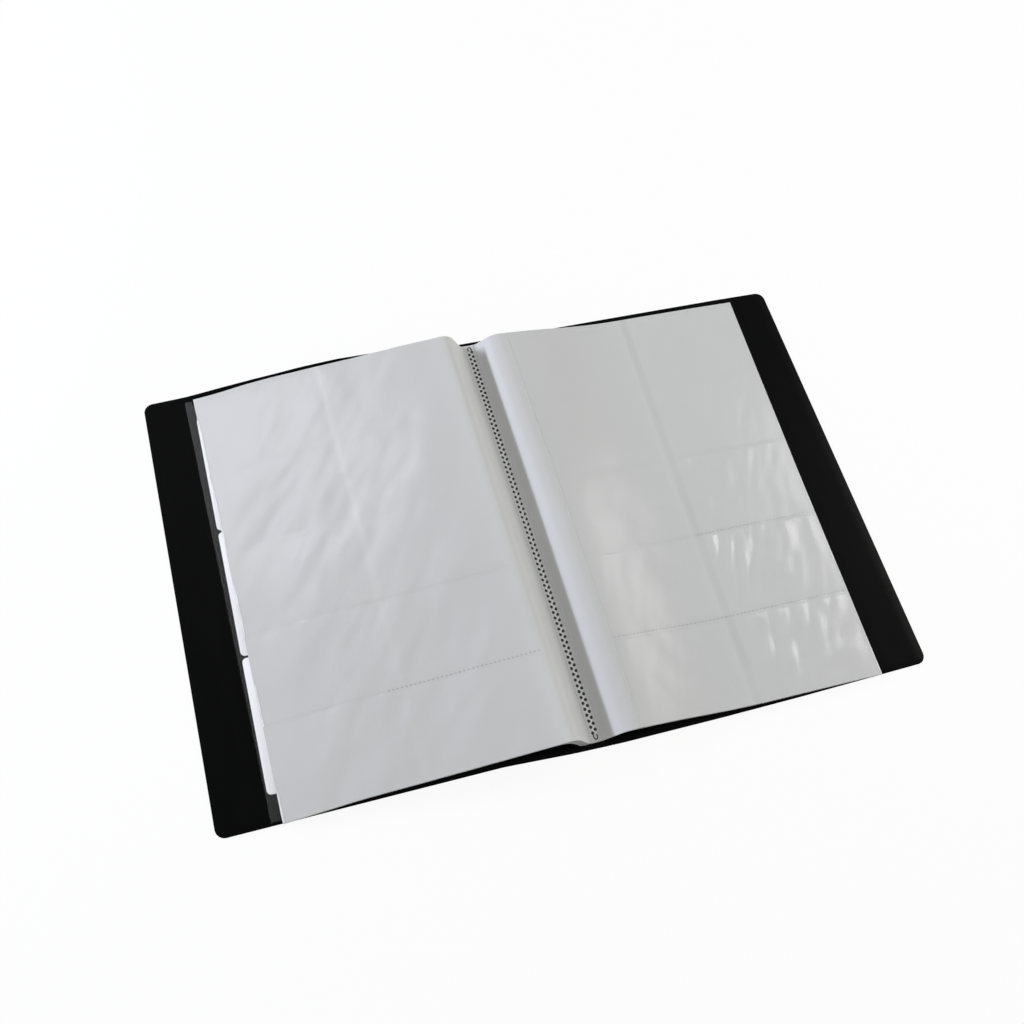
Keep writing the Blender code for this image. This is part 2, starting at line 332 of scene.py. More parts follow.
@dataclass(frozen=True)
class CoverPlastic:
    """Satin black polypropylene with a fine grain and faint rub marks."""

    name: str = "cover_plastic"
    colour: Colour = (0.0014, 0.0015, 0.0016)
    rubbed: Colour = (0.0030, 0.0031, 0.0032)
    roughness: float = 0.36
    shine: float = 0.028
    grain_per_metre: float = 2600.0
    grain_depth: float = 0.00006
    grain_share: float = 0.5
    grain_swing: float = 0.10
    rub_stretch: Point = (6.0, 2.0, 6.0)
    rub_turn: Point = (0.0, 0.0, 0.5)
    rub_per_metre: float = 9.0
    rub_swing: float = 0.14
    wear_contrast: float = 3.0
    wear_base: float = 0.3

    def material(self) -> bpy.types.Material:
        """Make the plastic's node material.

        Returns:
            The material.
        """
        tree = FinishTree(self.name)
        grain = tree.noise(tree.place(), self.grain_per_metre, 3.0)
        rub = tree.noise(tree.place(self.rub_stretch, self.rub_turn), self.rub_per_metre, 5.0)
        wear = (rub.swing(self.wear_contrast) + self.wear_base) * grain
        shader = tree.add(
            "ShaderNodeBsdfPrincipled",
            None,
            {
                "Base Color": tree.blend_colours(wear, self.colour, self.rubbed),
                "Roughness": self.roughness + rub.swing(self.rub_swing) + grain.swing(self.grain_swing),
                "Specular IOR Level": self.shine,
                "Normal": tree.bump(grain, self.grain_depth, self.grain_share),
            },
        )
        return tree.finish(shader)


@dataclass(frozen=True)
class SheetPlastic:
    """Opaque white leaf sheet, faintly cloudy, with a fine tooth; its colour is darkened along the seams and
    paled by painted highlights from the mesh's tone attribute.
    """

    name: str = "leaf_sheet"
    colour: Colour = (0.640, 0.642, 0.643)
    cloud: Colour = (0.605, 0.608, 0.614)
    roughness: float = 0.6
    shine: float = 0.2
    seam_share: float = 0.88
    neutral_tone: float = 0.5
    cloud_stretch: Point = (1.0, 0.5, 1.0)
    cloud_turn: Point = (0.0, 0.0, 0.4)
    clouds_per_metre: float = 28.0
    tooth_per_metre: float = 2200.0
    tooth_depth: float = 0.00001
    tooth_share: float = 0.15
    tooth_swing: float = 0.08

    def material(self) -> bpy.types.Material:
        """Make the sheet's node material.

        Returns:
            The material.
        """
        tree = FinishTree(self.name)
        clouds = tree.noise(tree.place(self.cloud_stretch, self.cloud_turn), self.clouds_per_metre, 3.0)
        tooth = tree.noise(tree.place(), self.tooth_per_metre)
        plain = tree.blend_colours(clouds, self.colour, self.cloud)
        # The mesh's tone: darker along the seams, paler where it paints a highlight along the column crease
        # and the crest.
        seams = tree.add("ShaderNodeAttribute", {"attribute_name": SEAM_TONE_AND_HIGHLIGHT})
        tone = Wire(tree, seams.outputs["Fac"]) + self.neutral_tone
        dark, pale = self.seam_share, 2.0 - self.seam_share
        shade = tree.blend_colours(tone, (pale,) * 3, (dark,) * 3)
        toned = tree.add(
            "ShaderNodeMix", {"data_type": "RGBA", "blend_type": "MULTIPLY"}, {0: 1.0, 6: plain, 7: shade}
        )
        shader = tree.add(
            "ShaderNodeBsdfPrincipled",
            None,
            {
                "Base Color": toned.outputs[2],
                "Roughness": self.roughness + tooth.swing(self.tooth_swing),
                "Specular IOR Level": self.shine,
                "Normal": tree.bump(tooth, self.tooth_depth, self.tooth_share),
            },
        )
        return tree.finish(shader)


@dataclass(frozen=True)
class ClearFilm:
    """Clear glossy film: it lets the light through and mirrors more at a slant."""

    name: str = "pocket_film"
    mirror: float = 0.02
    haze: float = 0.0
    tint: Colour = (0.97, 0.975, 0.985)
    roughness: float = 0.19
    ripple_per_metre: float = 40.0
    ripple_depth: float = 0.0002
    ripple_share: float = 0.35
    ripple_stretch: Point = (1.0, 0.45, 1.0)
    ripple_turn: Point = (0.0, 0.0, 0.3)
    scuffs_per_metre: float = 160.0
    scuff_stretch: Point = (1.0, 0.2, 1.0)
    scuff_turn: Point = (0.0, 0.0, -0.5)
    scuff_swing: float = 0.10
    slant_gloss: float = 0.6
    slant_power: float = 5.0
    milk_roughness: float = 0.4
    milk_least: float = 0.7
    milk_swing: float = 0.6

    def material(self) -> bpy.types.Material:
        """Make the film's node material.

        Returns:
            The material.
        """
        tree = FinishTree(self.name)
        ripple = tree.noise(tree.place(self.ripple_stretch, self.ripple_turn), self.ripple_per_metre, 0.0)
        scuff = tree.noise(tree.place(self.scuff_stretch, self.scuff_turn), self.scuffs_per_metre, 4.0)
        normal = tree.bump(ripple, self.ripple_depth, self.ripple_share)
        slant = tree.add("ShaderNodeLayerWeight", None, {"Blend": 0.5, "Normal": normal})
        facing = Wire(tree, slant.outputs["Facing"])
        gloss = tree.add(
            "ShaderNodeBsdfPrincipled",
            None,
            {
                "Base Color": (*self.tint, 1.0),
                "Metallic": 1.0,
                "Roughness": self.roughness + scuff.swing(self.scuff_swing),
                "Normal": normal,
            },
        )
        clear = tree.add("ShaderNodeBsdfTransparent", None, {"Color": (1.0, 1.0, 1.0, 1.0)})
        mixed = tree.mix_shaders(self.mirror + self.slant_gloss * facing**self.slant_power, clear, gloss)
        if self.haze:
            milk = tree.add(
                "ShaderNodeBsdfPrincipled",
                None,
                {"Base Color": (*self.tint, 1.0), "Roughness": self.milk_roughness, "Normal": normal},
            )
            mixed = tree.mix_shaders(self.haze * (self.milk_least + self.milk_swing * scuff), mixed, milk)
        return tree.finish(mixed)


@dataclass(frozen=True)
class CardStock:
    """Smooth white card with a faint paper fibre, and a faint painted glow that brightens it."""

    name: str = "card_stock"
    colour: Colour = (0.96, 0.96, 0.965)
    fibre: Colour = (0.92, 0.922, 0.93)
    glow: Colour = (0.97, 0.98, 1.0)
    brightener: float = 0.12
    roughness: float = 0.42
    shine: float = 0.4
    fibres_per_metre: float = 1400.0
    fibre_stretch: Point = (1.0, 0.3, 1.0)
    fibre_turn: Point = (0.0, 0.0, 0.6)
    fibre_depth: float = 0.00003
    fibre_share: float = 0.4
    fibre_swing: float = 0.2

    def material(self) -> bpy.types.Material:
        """Make the card's node material.

        Returns:
            The material.
        """
        tree = FinishTree(self.name)
        fibre = tree.noise(tree.place(self.fibre_stretch, self.fibre_turn), self.fibres_per_metre, 3.0)
        shader = tree.add(
            "ShaderNodeBsdfPrincipled",
            None,
            {
                "Base Color": tree.blend_colours(fibre, self.colour, self.fibre),
                "Roughness": self.roughness + fibre.swing(self.fibre_swing),
                "Specular IOR Level": self.shine,
                "Normal": tree.bump(fibre, self.fibre_depth, self.fibre_share),
                # A faint painted glow that brightens the card.
                "Emission Color": (*self.glow, 1.0),
                "Emission Strength": self.brightener,
            },
        )
        return tree.finish(shader)


@dataclass(frozen=True)
class DotFinish:
    """The finish of pressed dots: plastic pressed and melted by a hot tip, and for the fore-edge lip a bright
    colour that paints its highlight.
    """

    name: str
    colour: Colour
    burnt: Colour
    roughness: float
    shine: float = 0.3
    blotches_per_metre: float = 900.0
    blotch_depth: float = 0.00004
    blotch_share: float = 0.5
    blotch_swing: float = 0.2

    def material(self) -> bpy.types.Material:
        """Make the weld point's node material.

        Returns:
            The material.
        """
        tree = FinishTree(self.name)
        blotch = tree.noise(tree.place(), self.blotches_per_metre)
        shader = tree.add(
            "ShaderNodeBsdfPrincipled",
            None,
            {
                "Base Color": tree.blend_colours(blotch, self.colour, self.burnt),
                "Roughness": self.roughness + blotch.swing(self.blotch_swing),
                "Specular IOR Level": self.shine,
                "Normal": tree.bump(blotch, self.blotch_depth, self.blotch_share),
            },
        )
        return tree.finish(shader)


@dataclass(frozen=True)
class TablePaper:
    """White studio paper that keeps a faint shadow."""

    name: str = "table_paper"
    colour: Colour = (0.93, 0.93, 0.93)
    tooth_colour: Colour = (0.92, 0.92, 0.92)
    tooth_per_metre: float = 60.0
    roughness: float = 0.9
    shine: float = 0.1
    white_share: float = 0.92

    def material(self) -> bpy.types.Material:
        """Make the paper's node material: partly lit, partly plain white to the camera and in mirrors.

        Returns:
            The material.
        """
        tree = FinishTree(self.name)
        tooth = tree.noise(tree.place(), self.tooth_per_metre)
        paper = tree.add(
            "ShaderNodeBsdfPrincipled",
            None,
            {
                "Base Color": tree.blend_colours(tooth, self.colour, self.tooth_colour),
                "Roughness": self.roughness,
                "Specular IOR Level": self.shine,
            },
        )
        white = tree.add("ShaderNodeEmission", None, {"Color": (1.0, 1.0, 1.0, 1.0), "Strength": 1.0})
        return tree.finish(tree.mix_shaders(self.white_share * tree.seen(), paper, white))


# ---------------------------------------------------------------- mesh helpers


def smooth_step(value: Value) -> Value:
    """A smooth rise from 0 to 1."""
    held = np.clip(value, 0.0, 1.0)
    return held * held * (3.0 - 2.0 * held)


def noise_grid(first: Grid, second: Grid, seed: float, octaves: int = 2) -> Grid:
    """Smooth noise read at two coordinates.

    Args:
        first: the first coordinate, in cells of noise.
        second: the second coordinate, in cells of noise.
        seed: a fixed third coordinate.
        octaves: how many finer layers are added.

    Returns:
        Values from about -1 to 1, in the coordinates' shape.
    """
    flat = [
        noise.fractal((float(a), float(b), seed), 1.0, 2.0, octaves, noise_basis="PERLIN_ORIGINAL")
        for a, b in zip(first.ravel(), second.ravel())
    ]
    return np.array(flat).reshape(first.shape)


@dataclass(frozen=True)
class Ramp:
    """A smooth rise from 0 to 1 over a length."""

    start: float
    length: float

    def __call__(self, value: Value) -> Value:
        """How far the rise has come at a value."""
        return smooth_step((value - self.start) / self.length)

    def falling(self, value: Value) -> Value:
        """The fall from 1 to 0 over the same length."""
        return 1.0 - self(value)


@dataclass(frozen=True)
class Hump:
    """A soft hump with a height of 1."""

    middle: float
    width: float

    def __call__(self, value: Grid) -> Grid:
        """The hump's height at a value."""
        return np.exp(-(((value - self.middle) / self.width) ** 2))


@dataclass(frozen=True)
class Creases:
    """A pattern of smooth noise that may run aslant over a page."""

    cells: tuple[float, float]
    seed: float = 0.0
    lean: float = 0.0
    drift: float = 0.0
    octaves: int = 1

    def heights(self, along: Grid, up: Grid, seed: float) -> Grid:
        """Read the pattern.

        Args:
            along: distances from the gutter.
            up: heights up the page.
            seed: what sets two surfaces with this pattern apart.

        Returns:
            Heights from about -1 to 1, in the same shape.
        """
        first = (along + self.lean * up) / self.cells[0]
        second = (up - self.drift * along) / self.cells[1]
        return noise_grid(first, second, seed + self.seed, self.octaves)


TO_HEAD = Ramp(0.0, HALF_PAGE)


def gutter_skew(y: Value) -> Value:
    """How far the weld runs off the spine's middle at a height up the page."""
    return WELD_OFFSET - WELD_LEAN * y / HALF_PAGE


def gutter_rise(y: Value) -> Value:
    """How far the weld is drawn out towards the head at a height up the page."""
    return WELD_RISE * TO_HEAD(y)


def level(x: float, y: float) -> float:
    """The rise and the reach of a plate that lies flat and keeps its outline."""
    return 0.0


def link_piece(name: str, mesh: bpy.types.Mesh, material: bpy.types.Material) -> bpy.types.Object:
    """A new object at the origin for a finished mesh, reported by its name.

    Args:
        name: the piece's name.
        mesh: its mesh, in place.
        material: its finish.

    Returns:
        The object.
    """
    mesh.materials.clear()
    mesh.materials.append(material)
    piece = bpy.data.objects.new(name, mesh)
    bpy.context.scene.collection.objects.link(piece)
    log.info("%s: %d faces", name, len(mesh.polygons))
    return piece


def shell_mesh(name: str, upper: Grid, lower: Grid, kept: Optional[Grid] = None) -> bpy.types.Mesh:
    """A closed thin shell between two grids of points.

    Args:
        name: the mesh's name.
        upper: the upper face's points, rows x columns x 3.
        lower: the lower face's points, in the same order.
        kept: which cells are there; all of them if not given.

    Returns:
        The mesh, with its faces pointing out and its rims sharp.
    """
    rows, columns = upper.shape[:2]
    if kept is None:
        kept = np.ones((rows - 1, columns - 1), bool)
    index = np.arange(rows * columns).reshape(rows, columns)
    below = rows * columns
    a, b = index[:-1, :-1], index[1:, :-1]
    c, d = index[1:, 1:], index[:-1, 1:]
    top = np.stack([a, b, c, d], -1)[kept]
    faces = [top, top[:, ::-1] + below]
    padded = np.pad(kept, 1)
    inner = padded[1:-1, 1:-1]
    for (near, far), beyond in (
        ((a, b), padded[1:-1, :-2]),
        ((b, c), padded[2:, 1:-1]),
        ((c, d), padded[1:-1, 2:]),
        ((d, a), padded[:-2, 1:-1]),
    ):
        rim = inner & ~beyond
        faces.append(np.stack([far[rim], near[rim], near[rim] + below, far[rim] + below], -1))
    quads = np.concatenate(faces)
    points = np.concatenate([upper.reshape(-1, 3), lower.reshape(-1, 3)])
    used = np.unique(quads)
    renumber = np.full(len(points), -1)
    renumber[used] = np.arange(len(used))
    mesh = bpy.data.meshes.new(name)
    mesh.from_pydata(points[used].tolist(), [], renumber[quads].tolist())
    solid = bmesh.new()
    solid.from_mesh(mesh)
    bmesh.ops.recalc_face_normals(solid, faces=solid.faces)
    solid.to_mesh(mesh)
    solid.free()
    mesh.polygons.foreach_set("use_smooth", [True] * len(mesh.polygons))
    mesh.set_sharp_from_angle(angle=SHELL_CREASE)
    mesh.update()
    return mesh


def rounded_outline(
    low: tuple[float, float], high: tuple[float, float], radii: tuple[float, ...], steps: int = 10
) -> list[tuple[float, float]]:
    """Points round a rectangle.

    Args:
        low: its low left corner.
        high: its high right corner.
        radii: for its low left, low right, high right and high left corners.
        steps: segments in each rounded corner.

    Returns:
        The points, anticlockwise.
    """
    turns = [
        (low[0], low[1], 1, 1),
        (high[0], low[1], -1, 1),
        (high[0], high[1], -1, -1),
        (low[0], high[1], 1, -1),
    ]
    points = []
    for number, ((x, y, in_x, in_y), radius) in enumerate(zip(turns, radii)):
        if radius <= 0.0:
            points.append((x, y))
            continue
        for step in range(steps + 1):
            angle = math.pi + (number + step / steps) * math.pi / 2
            points.append((x + radius * (in_x + math.cos(angle)), y + radius * (in_y + math.sin(angle))))
    return points


def settle(plate: bmesh.types.BMesh) -> None:
    """Put a cut-up plate's parts in an order that is the same in every run.

    Args:
        plate: the plate.
    """
    orders = (
        (plate.verts, lambda part: [round(value, MARK_DIGITS) for value in part.co]),
        (plate.edges, lambda part: sorted(vertex.index for vertex in part.verts)),
        (plate.faces, lambda part: sorted(vertex.index for vertex in part.verts)),
    )
    for parts, order in orders:
        for number, part in enumerate(sorted(parts, key=order)):
            part.index = number
        parts.sort()


def plate_mesh(
    name: str,
    outline: list[tuple[float, float]],
    base: float,
    thickness: float,
    edge: float,
    lines: tuple[list[float], list[float]] = ([], []),
    rise: Callable[[float, float], float] = level,
    reach: Callable[[float, float], float] = level,
) -> bpy.types.Mesh:
    """A thin plate cut to an outline, split along lines so that it can bow, with eased edges.

    Args:
        name: the mesh's name.
        outline: its outline.
        base: the height of its underside where it doesn't bow.
        thickness: its thickness.
        edge: the width of the eased edge.
        lines: the X and the Y lines that split it.
        rise: how far it stands above its base at a place.
        reach: how far it is drawn out in Y at a place.

    Returns:
        The mesh.
    """
    plate = bmesh.new()
    ring = [plate.verts.new((x, y, base)) for x, y in outline]
    face = plate.faces.new(ring)
    raised = bmesh.ops.extrude_face_region(plate, geom=[face])
    lifted = [item for item in raised["geom"] if isinstance(item, bmesh.types.BMVert)]
    bmesh.ops.translate(plate, vec=(0.0, 0.0, thickness), verts=lifted)
    bmesh.ops.recalc_face_normals(plate, faces=plate.faces)
    rim = [item for item in plate.edges if abs(item.verts[0].co.z - item.verts[1].co.z) < SAME_PLACE]
    bmesh.ops.bevel(plate, geom=rim, offset=edge, segments=EASE_SEGMENTS, profile=0.5, affect="EDGES")
    for axis, places in enumerate(lines):
        normal = Vector((1.0, 0.0, 0.0)) if axis == 0 else Vector((0.0, 1.0, 0.0))
        for value in places:
            geometry = plate.verts[:] + plate.edges[:] + plate.faces[:]
            bmesh.ops.bisect_plane(
                plate, geom=geometry, plane_co=normal * value, plane_no=normal, dist=SAME_PLACE
            )
    settle(plate)
    for vertex in plate.verts:
        x, y = vertex.co.x, vertex.co.y
        vertex.co.z += rise(x, y)
        vertex.co.y += reach(x, y)
    mesh = bpy.data.meshes.new(name)
    plate.to_mesh(mesh)
    plate.free()
    mesh.polygons.foreach_set("use_smooth", [True] * len(mesh.polygons))
    mesh.set_sharp_from_angle(angle=PLATE_CREASE)
    mesh.update()
    return mesh


# ---------------------------------------------------------------- geometry nodes


@dataclass(frozen=True)
class DotStyle:
    """The spacing and the sizes of pressed dots along a line."""

    pitch: float
    radius: float
    height: float
    stretch: float = 1.0


class DotTree(NodeBench):
    """A Geometry Nodes tree that sets pressed dots along lines and makes them one mesh."""

    def __init__(self, name: str) -> None:
        """Build the tree.

        Args:
            name: the tree's name.
        """
        super().__init__(bpy.data.node_groups.new(name, "GeometryNodeTree"))
        self.inputs: dict[str, str] = {}
        face = self.tree.interface
        face.new_socket("Geometry", in_out="INPUT", socket_type="NodeSocketGeometry")
        for label, kind in (
            ("Pitch", "NodeSocketFloat"),
            ("Dot Radius", "NodeSocketFloat"),
            ("Dot Height", "NodeSocketFloat"),
            ("Stretch", "NodeSocketFloat"),
            ("Finish", "NodeSocketMaterial"),
        ):
            self.inputs[label] = face.new_socket(label, in_out="INPUT", socket_type=kind).identifier
        face.new_socket("Geometry", in_out="OUTPUT", socket_type="NodeSocketGeometry")
        self._wire()

    def _wire(self) -> None:
        """Lines to curves, curves to evenly spaced points, and a low dome on each."""
        given = self.add("NodeGroupInput").outputs
        curve = self.add("GeometryNodeMeshToCurve", None, {"Mesh": given["Geometry"]})
        even = self.add(
            "GeometryNodeResampleCurve",
            {"mode": "LENGTH"},
            {"Curve": curve.outputs[0], "Length": given["Pitch"]},
        )
        sockets = {"Segments": DOME_SEGMENTS, "Rings": DOME_RINGS, "Radius": 1.0}
        dome = self.add("GeometryNodeMeshUVSphere", None, sockets)
        part = self.add("GeometryNodeInputNamedAttribute", {"data_type": "FLOAT"}, {"Name": "dot_size"})
        width = Wire(self, given["Dot Radius"]) * Wire(self, part.outputs["Attribute"])
        size = self.add(
            "ShaderNodeCombineXYZ",
            None,
            {"X": width * Wire(self, given["Stretch"]), "Y": width, "Z": given["Dot Height"]},
        )
        normal = self.add(
            "GeometryNodeInputNamedAttribute", {"data_type": "FLOAT_VECTOR"}, {"Name": "surface_normal"}
        )
        upright = self.add(
            "FunctionNodeAlignRotationToVector", {"axis": "Z"}, {"Vector": normal.outputs["Attribute"]}
        )
        tangent = self.add("GeometryNodeInputTangent")
        along = self.add(
            "FunctionNodeAlignRotationToVector",
            {"axis": "X", "pivot_axis": "Z"},
            {"Rotation": upright.outputs["Rotation"], "Vector": tangent.outputs["Tangent"]},
        )
        put = self.add(
            "GeometryNodeInstanceOnPoints",
            None,
            {
                "Points": even.outputs["Curve"],
                "Instance": dome.outputs["Mesh"],
                "Rotation": along.outputs["Rotation"],
                "Scale": size.outputs["Vector"],
            },
        )
        solid = self.add("GeometryNodeRealizeInstances", None, {"Geometry": put.outputs["Instances"]})
        paint = self.add(
            "GeometryNodeSetMaterial",
            None,
            {"Geometry": solid.outputs["Geometry"], "Material": given["Finish"]},
        )
        self.add("NodeGroupOutput", None, {"Geometry": paint.outputs["Geometry"]})

    def dots(
        self, name: str, lines: list[Line], style: DotStyle, finish: bpy.types.Material
    ) -> bpy.types.Object:
        """Dots along lines, as one plain mesh.

        Args:
            name: the piece's name.
            lines: the points, the surface normals and the dots' relative sizes along each line.
            style: the dots' spacing and sizes.
            finish: their finish.

        Returns:
            The piece.
        """
        points, normals, parts, edges = [], [], [], []
        for places, ups, relative in lines:
            first = len(points)
            points += places.tolist()
            normals += ups.tolist()
            parts += relative.tolist()
            edges += [(first + step, first + step + 1) for step in range(len(places) - 1)]
        mesh = bpy.data.meshes.new(f"{name}_lines")
        mesh.from_pydata(points, edges, [])
        attribute = mesh.attributes.new("surface_normal", "FLOAT_VECTOR", "POINT")
        attribute.data.foreach_set("vector", np.array(normals, np.float32).ravel())
        attribute = mesh.attributes.new("dot_size", "FLOAT", "POINT")
        attribute.data.foreach_set("value", np.array(parts, np.float32))
        carrier = bpy.data.objects.new(f"{name}_carrier", mesh)
        bpy.context.scene.collection.objects.link(carrier)
        modifier = carrier.modifiers.new("dots", "NODES")
        modifier.node_group = self.tree
        for label, value in (
            ("Pitch", style.pitch),
            ("Dot Radius", style.radius),
            ("Dot Height", style.height),
            ("Stretch", style.stretch),
            ("Finish", finish),
        ):
            modifier[self.inputs[label]] = value
        bpy.context.view_layer.update()
        seen = carrier.evaluated_get(bpy.context.evaluated_depsgraph_get())
        made = bpy.data.meshes.new_from_object(seen)
        made.name = name
        carrier.modifiers.remove(modifier)
        bpy.data.objects.remove(carrier)
        made.polygons.foreach_set("use_smooth", [True] * len(made.polygons))
        return link_piece(name, made, finish)


# ---------------------------------------------------------------- leaves


@dataclass
class LeafProfile:
    """The shape of a leaf across the gutter: out of the weld, over the crest and down to the fore edge."""

    lean: float
    rise: float
    crest_arc: float
    crest_turn: float
    band_rest: float
    ease_turn: float
    soften: float = 0.0
    weld_half: float = 0.004
    weld_top: float = 0.0044
    foot_radius: float = 0.003
    ease_start: float = 0.050
    ease_length: float = 0.030
    outer_length: float = 0.104
    runs: list[tuple[float, float]] = field(init=False)
    seam: float = field(init=False)

    def __post_init__(self) -> None:
        """Lay out the lines and arcs one after the other, and find the inner pocket seam."""
        tangent = self.crest_arc / self.crest_turn * math.tan(self.crest_turn) + self.soften
        radius = tangent / math.tan(self.crest_turn)
        arc = radius * self.crest_turn
        self.runs = [
            (self.foot_radius * self.lean, self.lean),
            (self.rise - self.soften, 0.0),
            (arc, -self.crest_turn),
            (arc, -self.crest_turn),
            (self.band_rest + self.ease_start - self.soften, 0.0),
            (self.ease_length, self.ease_turn),
            (self.outer_length, 0.0),
        ]
        past = self.band_rest - self.soften
        self.seam = self.crest + arc + (past if past > 0.0 else radius * math.asin(past / radius))

    @property
    def crest(self) -> float:
        """The distance from the weld line to the crest."""
        return sum(length for length, _ in self.runs[:3])

    @property
    def end(self) -> float:
        """The distance from the weld line to the fore edge."""
        return sum(length for length, _ in self.runs)

    def walk(self, distance: float) -> tuple[float, float, float]:
        """Where the leaf's face is after a distance from the weld line.

        Args:
            distance: the length walked.

        Returns:
            The distance from the spine's middle, the height and the heading.
        """
        u, z, heading = self.weld_half, self.weld_top, 0.0
        for length, turn in self.runs:
            step = min(distance, length)
            half = turn * step / length / 2
            chord = step * math.sin(half) / half if abs(half) > STRAIGHT else step
            u += chord * math.cos(heading + half)
            z += chord * math.sin(heading + half)
            heading += 2 * half
            distance -= step
            if distance <= 0.0:
                break
        return u, z, heading


@dataclass(frozen=True)
class LeafWave:
    """The slow wave and the crumple that all leaves of a side share."""

    height: float = 0.0011
    crumple: float = 0.00042
    seed: float = 3.7
    slow: Creases = Creases((0.062, 0.120), 0.0, 0.55, 0.55, 2)
    creased: Creases = Creases((0.015, 0.046), 1.0, 0.75, 0.75, 2)
    crossed: Creases = Creases((0.019, 0.050), 2.0, -0.45, -0.45)
    cross_share: float = 0.7
    faceted: Creases = Creases((0.019, 0.024), 6.0, 0.4, 0.4)
    facet_share: float = 0.9
    past_seam: Ramp = Ramp(0.004, 0.03)
    to_edge: Ramp = Ramp(-0.05, 0.05)
    edge_calm: float = 0.6
    slack_out: Ramp = Ramp(0.03, 0.06)
    slack_up: Ramp = Ramp(-0.02, 0.1)
    head_calm: float = 0.25
    corner_out: Ramp = Ramp(0.105, 0.05)
    corner_up: Ramp = Ramp(0.0, 0.06)

    def heights(self, profile: LeafProfile, side: Side, along: Grid, y: Grid) -> Grid:
        """How far the leaves stand off their profile.

        Args:
            profile: their shape across the gutter.
            side: their side.
            along: distances from the weld line, along x across.
            y: heights up the page, along x across.

        Returns:
            The heights, along x across.
        """
        calm = self.past_seam(along - profile.seam)
        calm = calm * (1.0 - self.edge_calm * self.to_edge(along - profile.end))
        seed = self.seed * side.value
        slow = self.slow.heights(along, y, seed)
        creased = self.creased.heights(along, y, seed)
        crossed = self.crossed.heights(along, y, seed)
        faceted = self.faceted.heights(along, y, seed)
        slack = self.slack_out(along) * (1.0 - self.head_calm * self.slack_up(y))
        corner = self.corner_out(along) * self.corner_up(y)
        crumpled = slack * (creased + self.cross_share * crossed) + self.facet_share * corner * faceted
        return calm * (self.height * slow + self.crumple * crumpled)


@dataclass(frozen=True)
class SeamToneAndHighlight:
    """How much darker a sheet shows along its seams, and how much paler where a painted highlight runs along
    its column crease and its crest; above 0 is darker.
    """

    row_tones: tuple[float, ...] = (0.02, 0.03, 0.12, 0.11)
    row: Hump = Hump(0.0, 0.0021)
    band_tone: float = 0.0
    band: Ramp = Ramp(-0.0038, 0.0022)
    band_cell: float = 0.031
    band_seed: float = 8.2
    band_even: float = 0.75
    band_uneven: float = 0.9
    # A pale line that paints a highlight along the column seam's crease, fading towards the foot down to its
    # least share.
    line_tone: float = 0.34
    line: Hump = Hump(0.0, 0.0024)
    line_least: float = 0.3
    line_up: Ramp = Ramp(-0.10, 0.20)
    past_seam: Ramp = Ramp(0.0, 0.004)
    # Paler sheet that paints a highlight along the crest, and a painted reflection that grows towards the
    # foot.
    crest_tone: float = 0.16
    foot_tone: float = 0.20
    crest: Hump = Hump(0.004, 0.010)
    to_foot: Ramp = Ramp(0.06, 0.06)

    def tones(
        self, profile: LeafProfile, column: float, rows: list[float], along: Grid, across: Grid
    ) -> Grid:
        """The darker column band and row seams, the painted highlight along the column crease, and the
        painted highlight along the crest that grows into a painted reflection towards the foot.

        Args:
            profile: the leaf's shape across the gutter.
            column: the column seam's distance from the inner seam.
            rows: the row seams' heights up the page.
            along: distances from the weld line.
            across: heights up the page.

        Returns:
            The tone, along x across.
        """
        off = (along - profile.seam - column)[:, None]
        patches = noise_grid(across / self.band_cell, 0.0 * across, self.band_seed, 1)[None, :]
        shown = self.line_least + (1.0 - self.line_least) * self.line_up(across)
        tone = self.band_tone * self.band(-np.abs(off)) * (self.band_even + self.band_uneven * patches)
        # The painted highlight along the column crease makes the sheet paler here.
        tone = tone - self.line_tone * self.line(off) * shown[None, :]
        for y, strength in zip(rows, self.row_tones):
            tone = tone + strength * self.row(across - y)[None, :]
        tone = tone * self.past_seam(along - profile.seam)[:, None]
        # Painted highlight along the crest, with a painted reflection towards the foot.
        crest_highlight = self.crest(along - profile.crest)[:, None]
        return tone - crest_highlight * (self.crest_tone + self.foot_tone * self.to_foot(-across))[None, :]


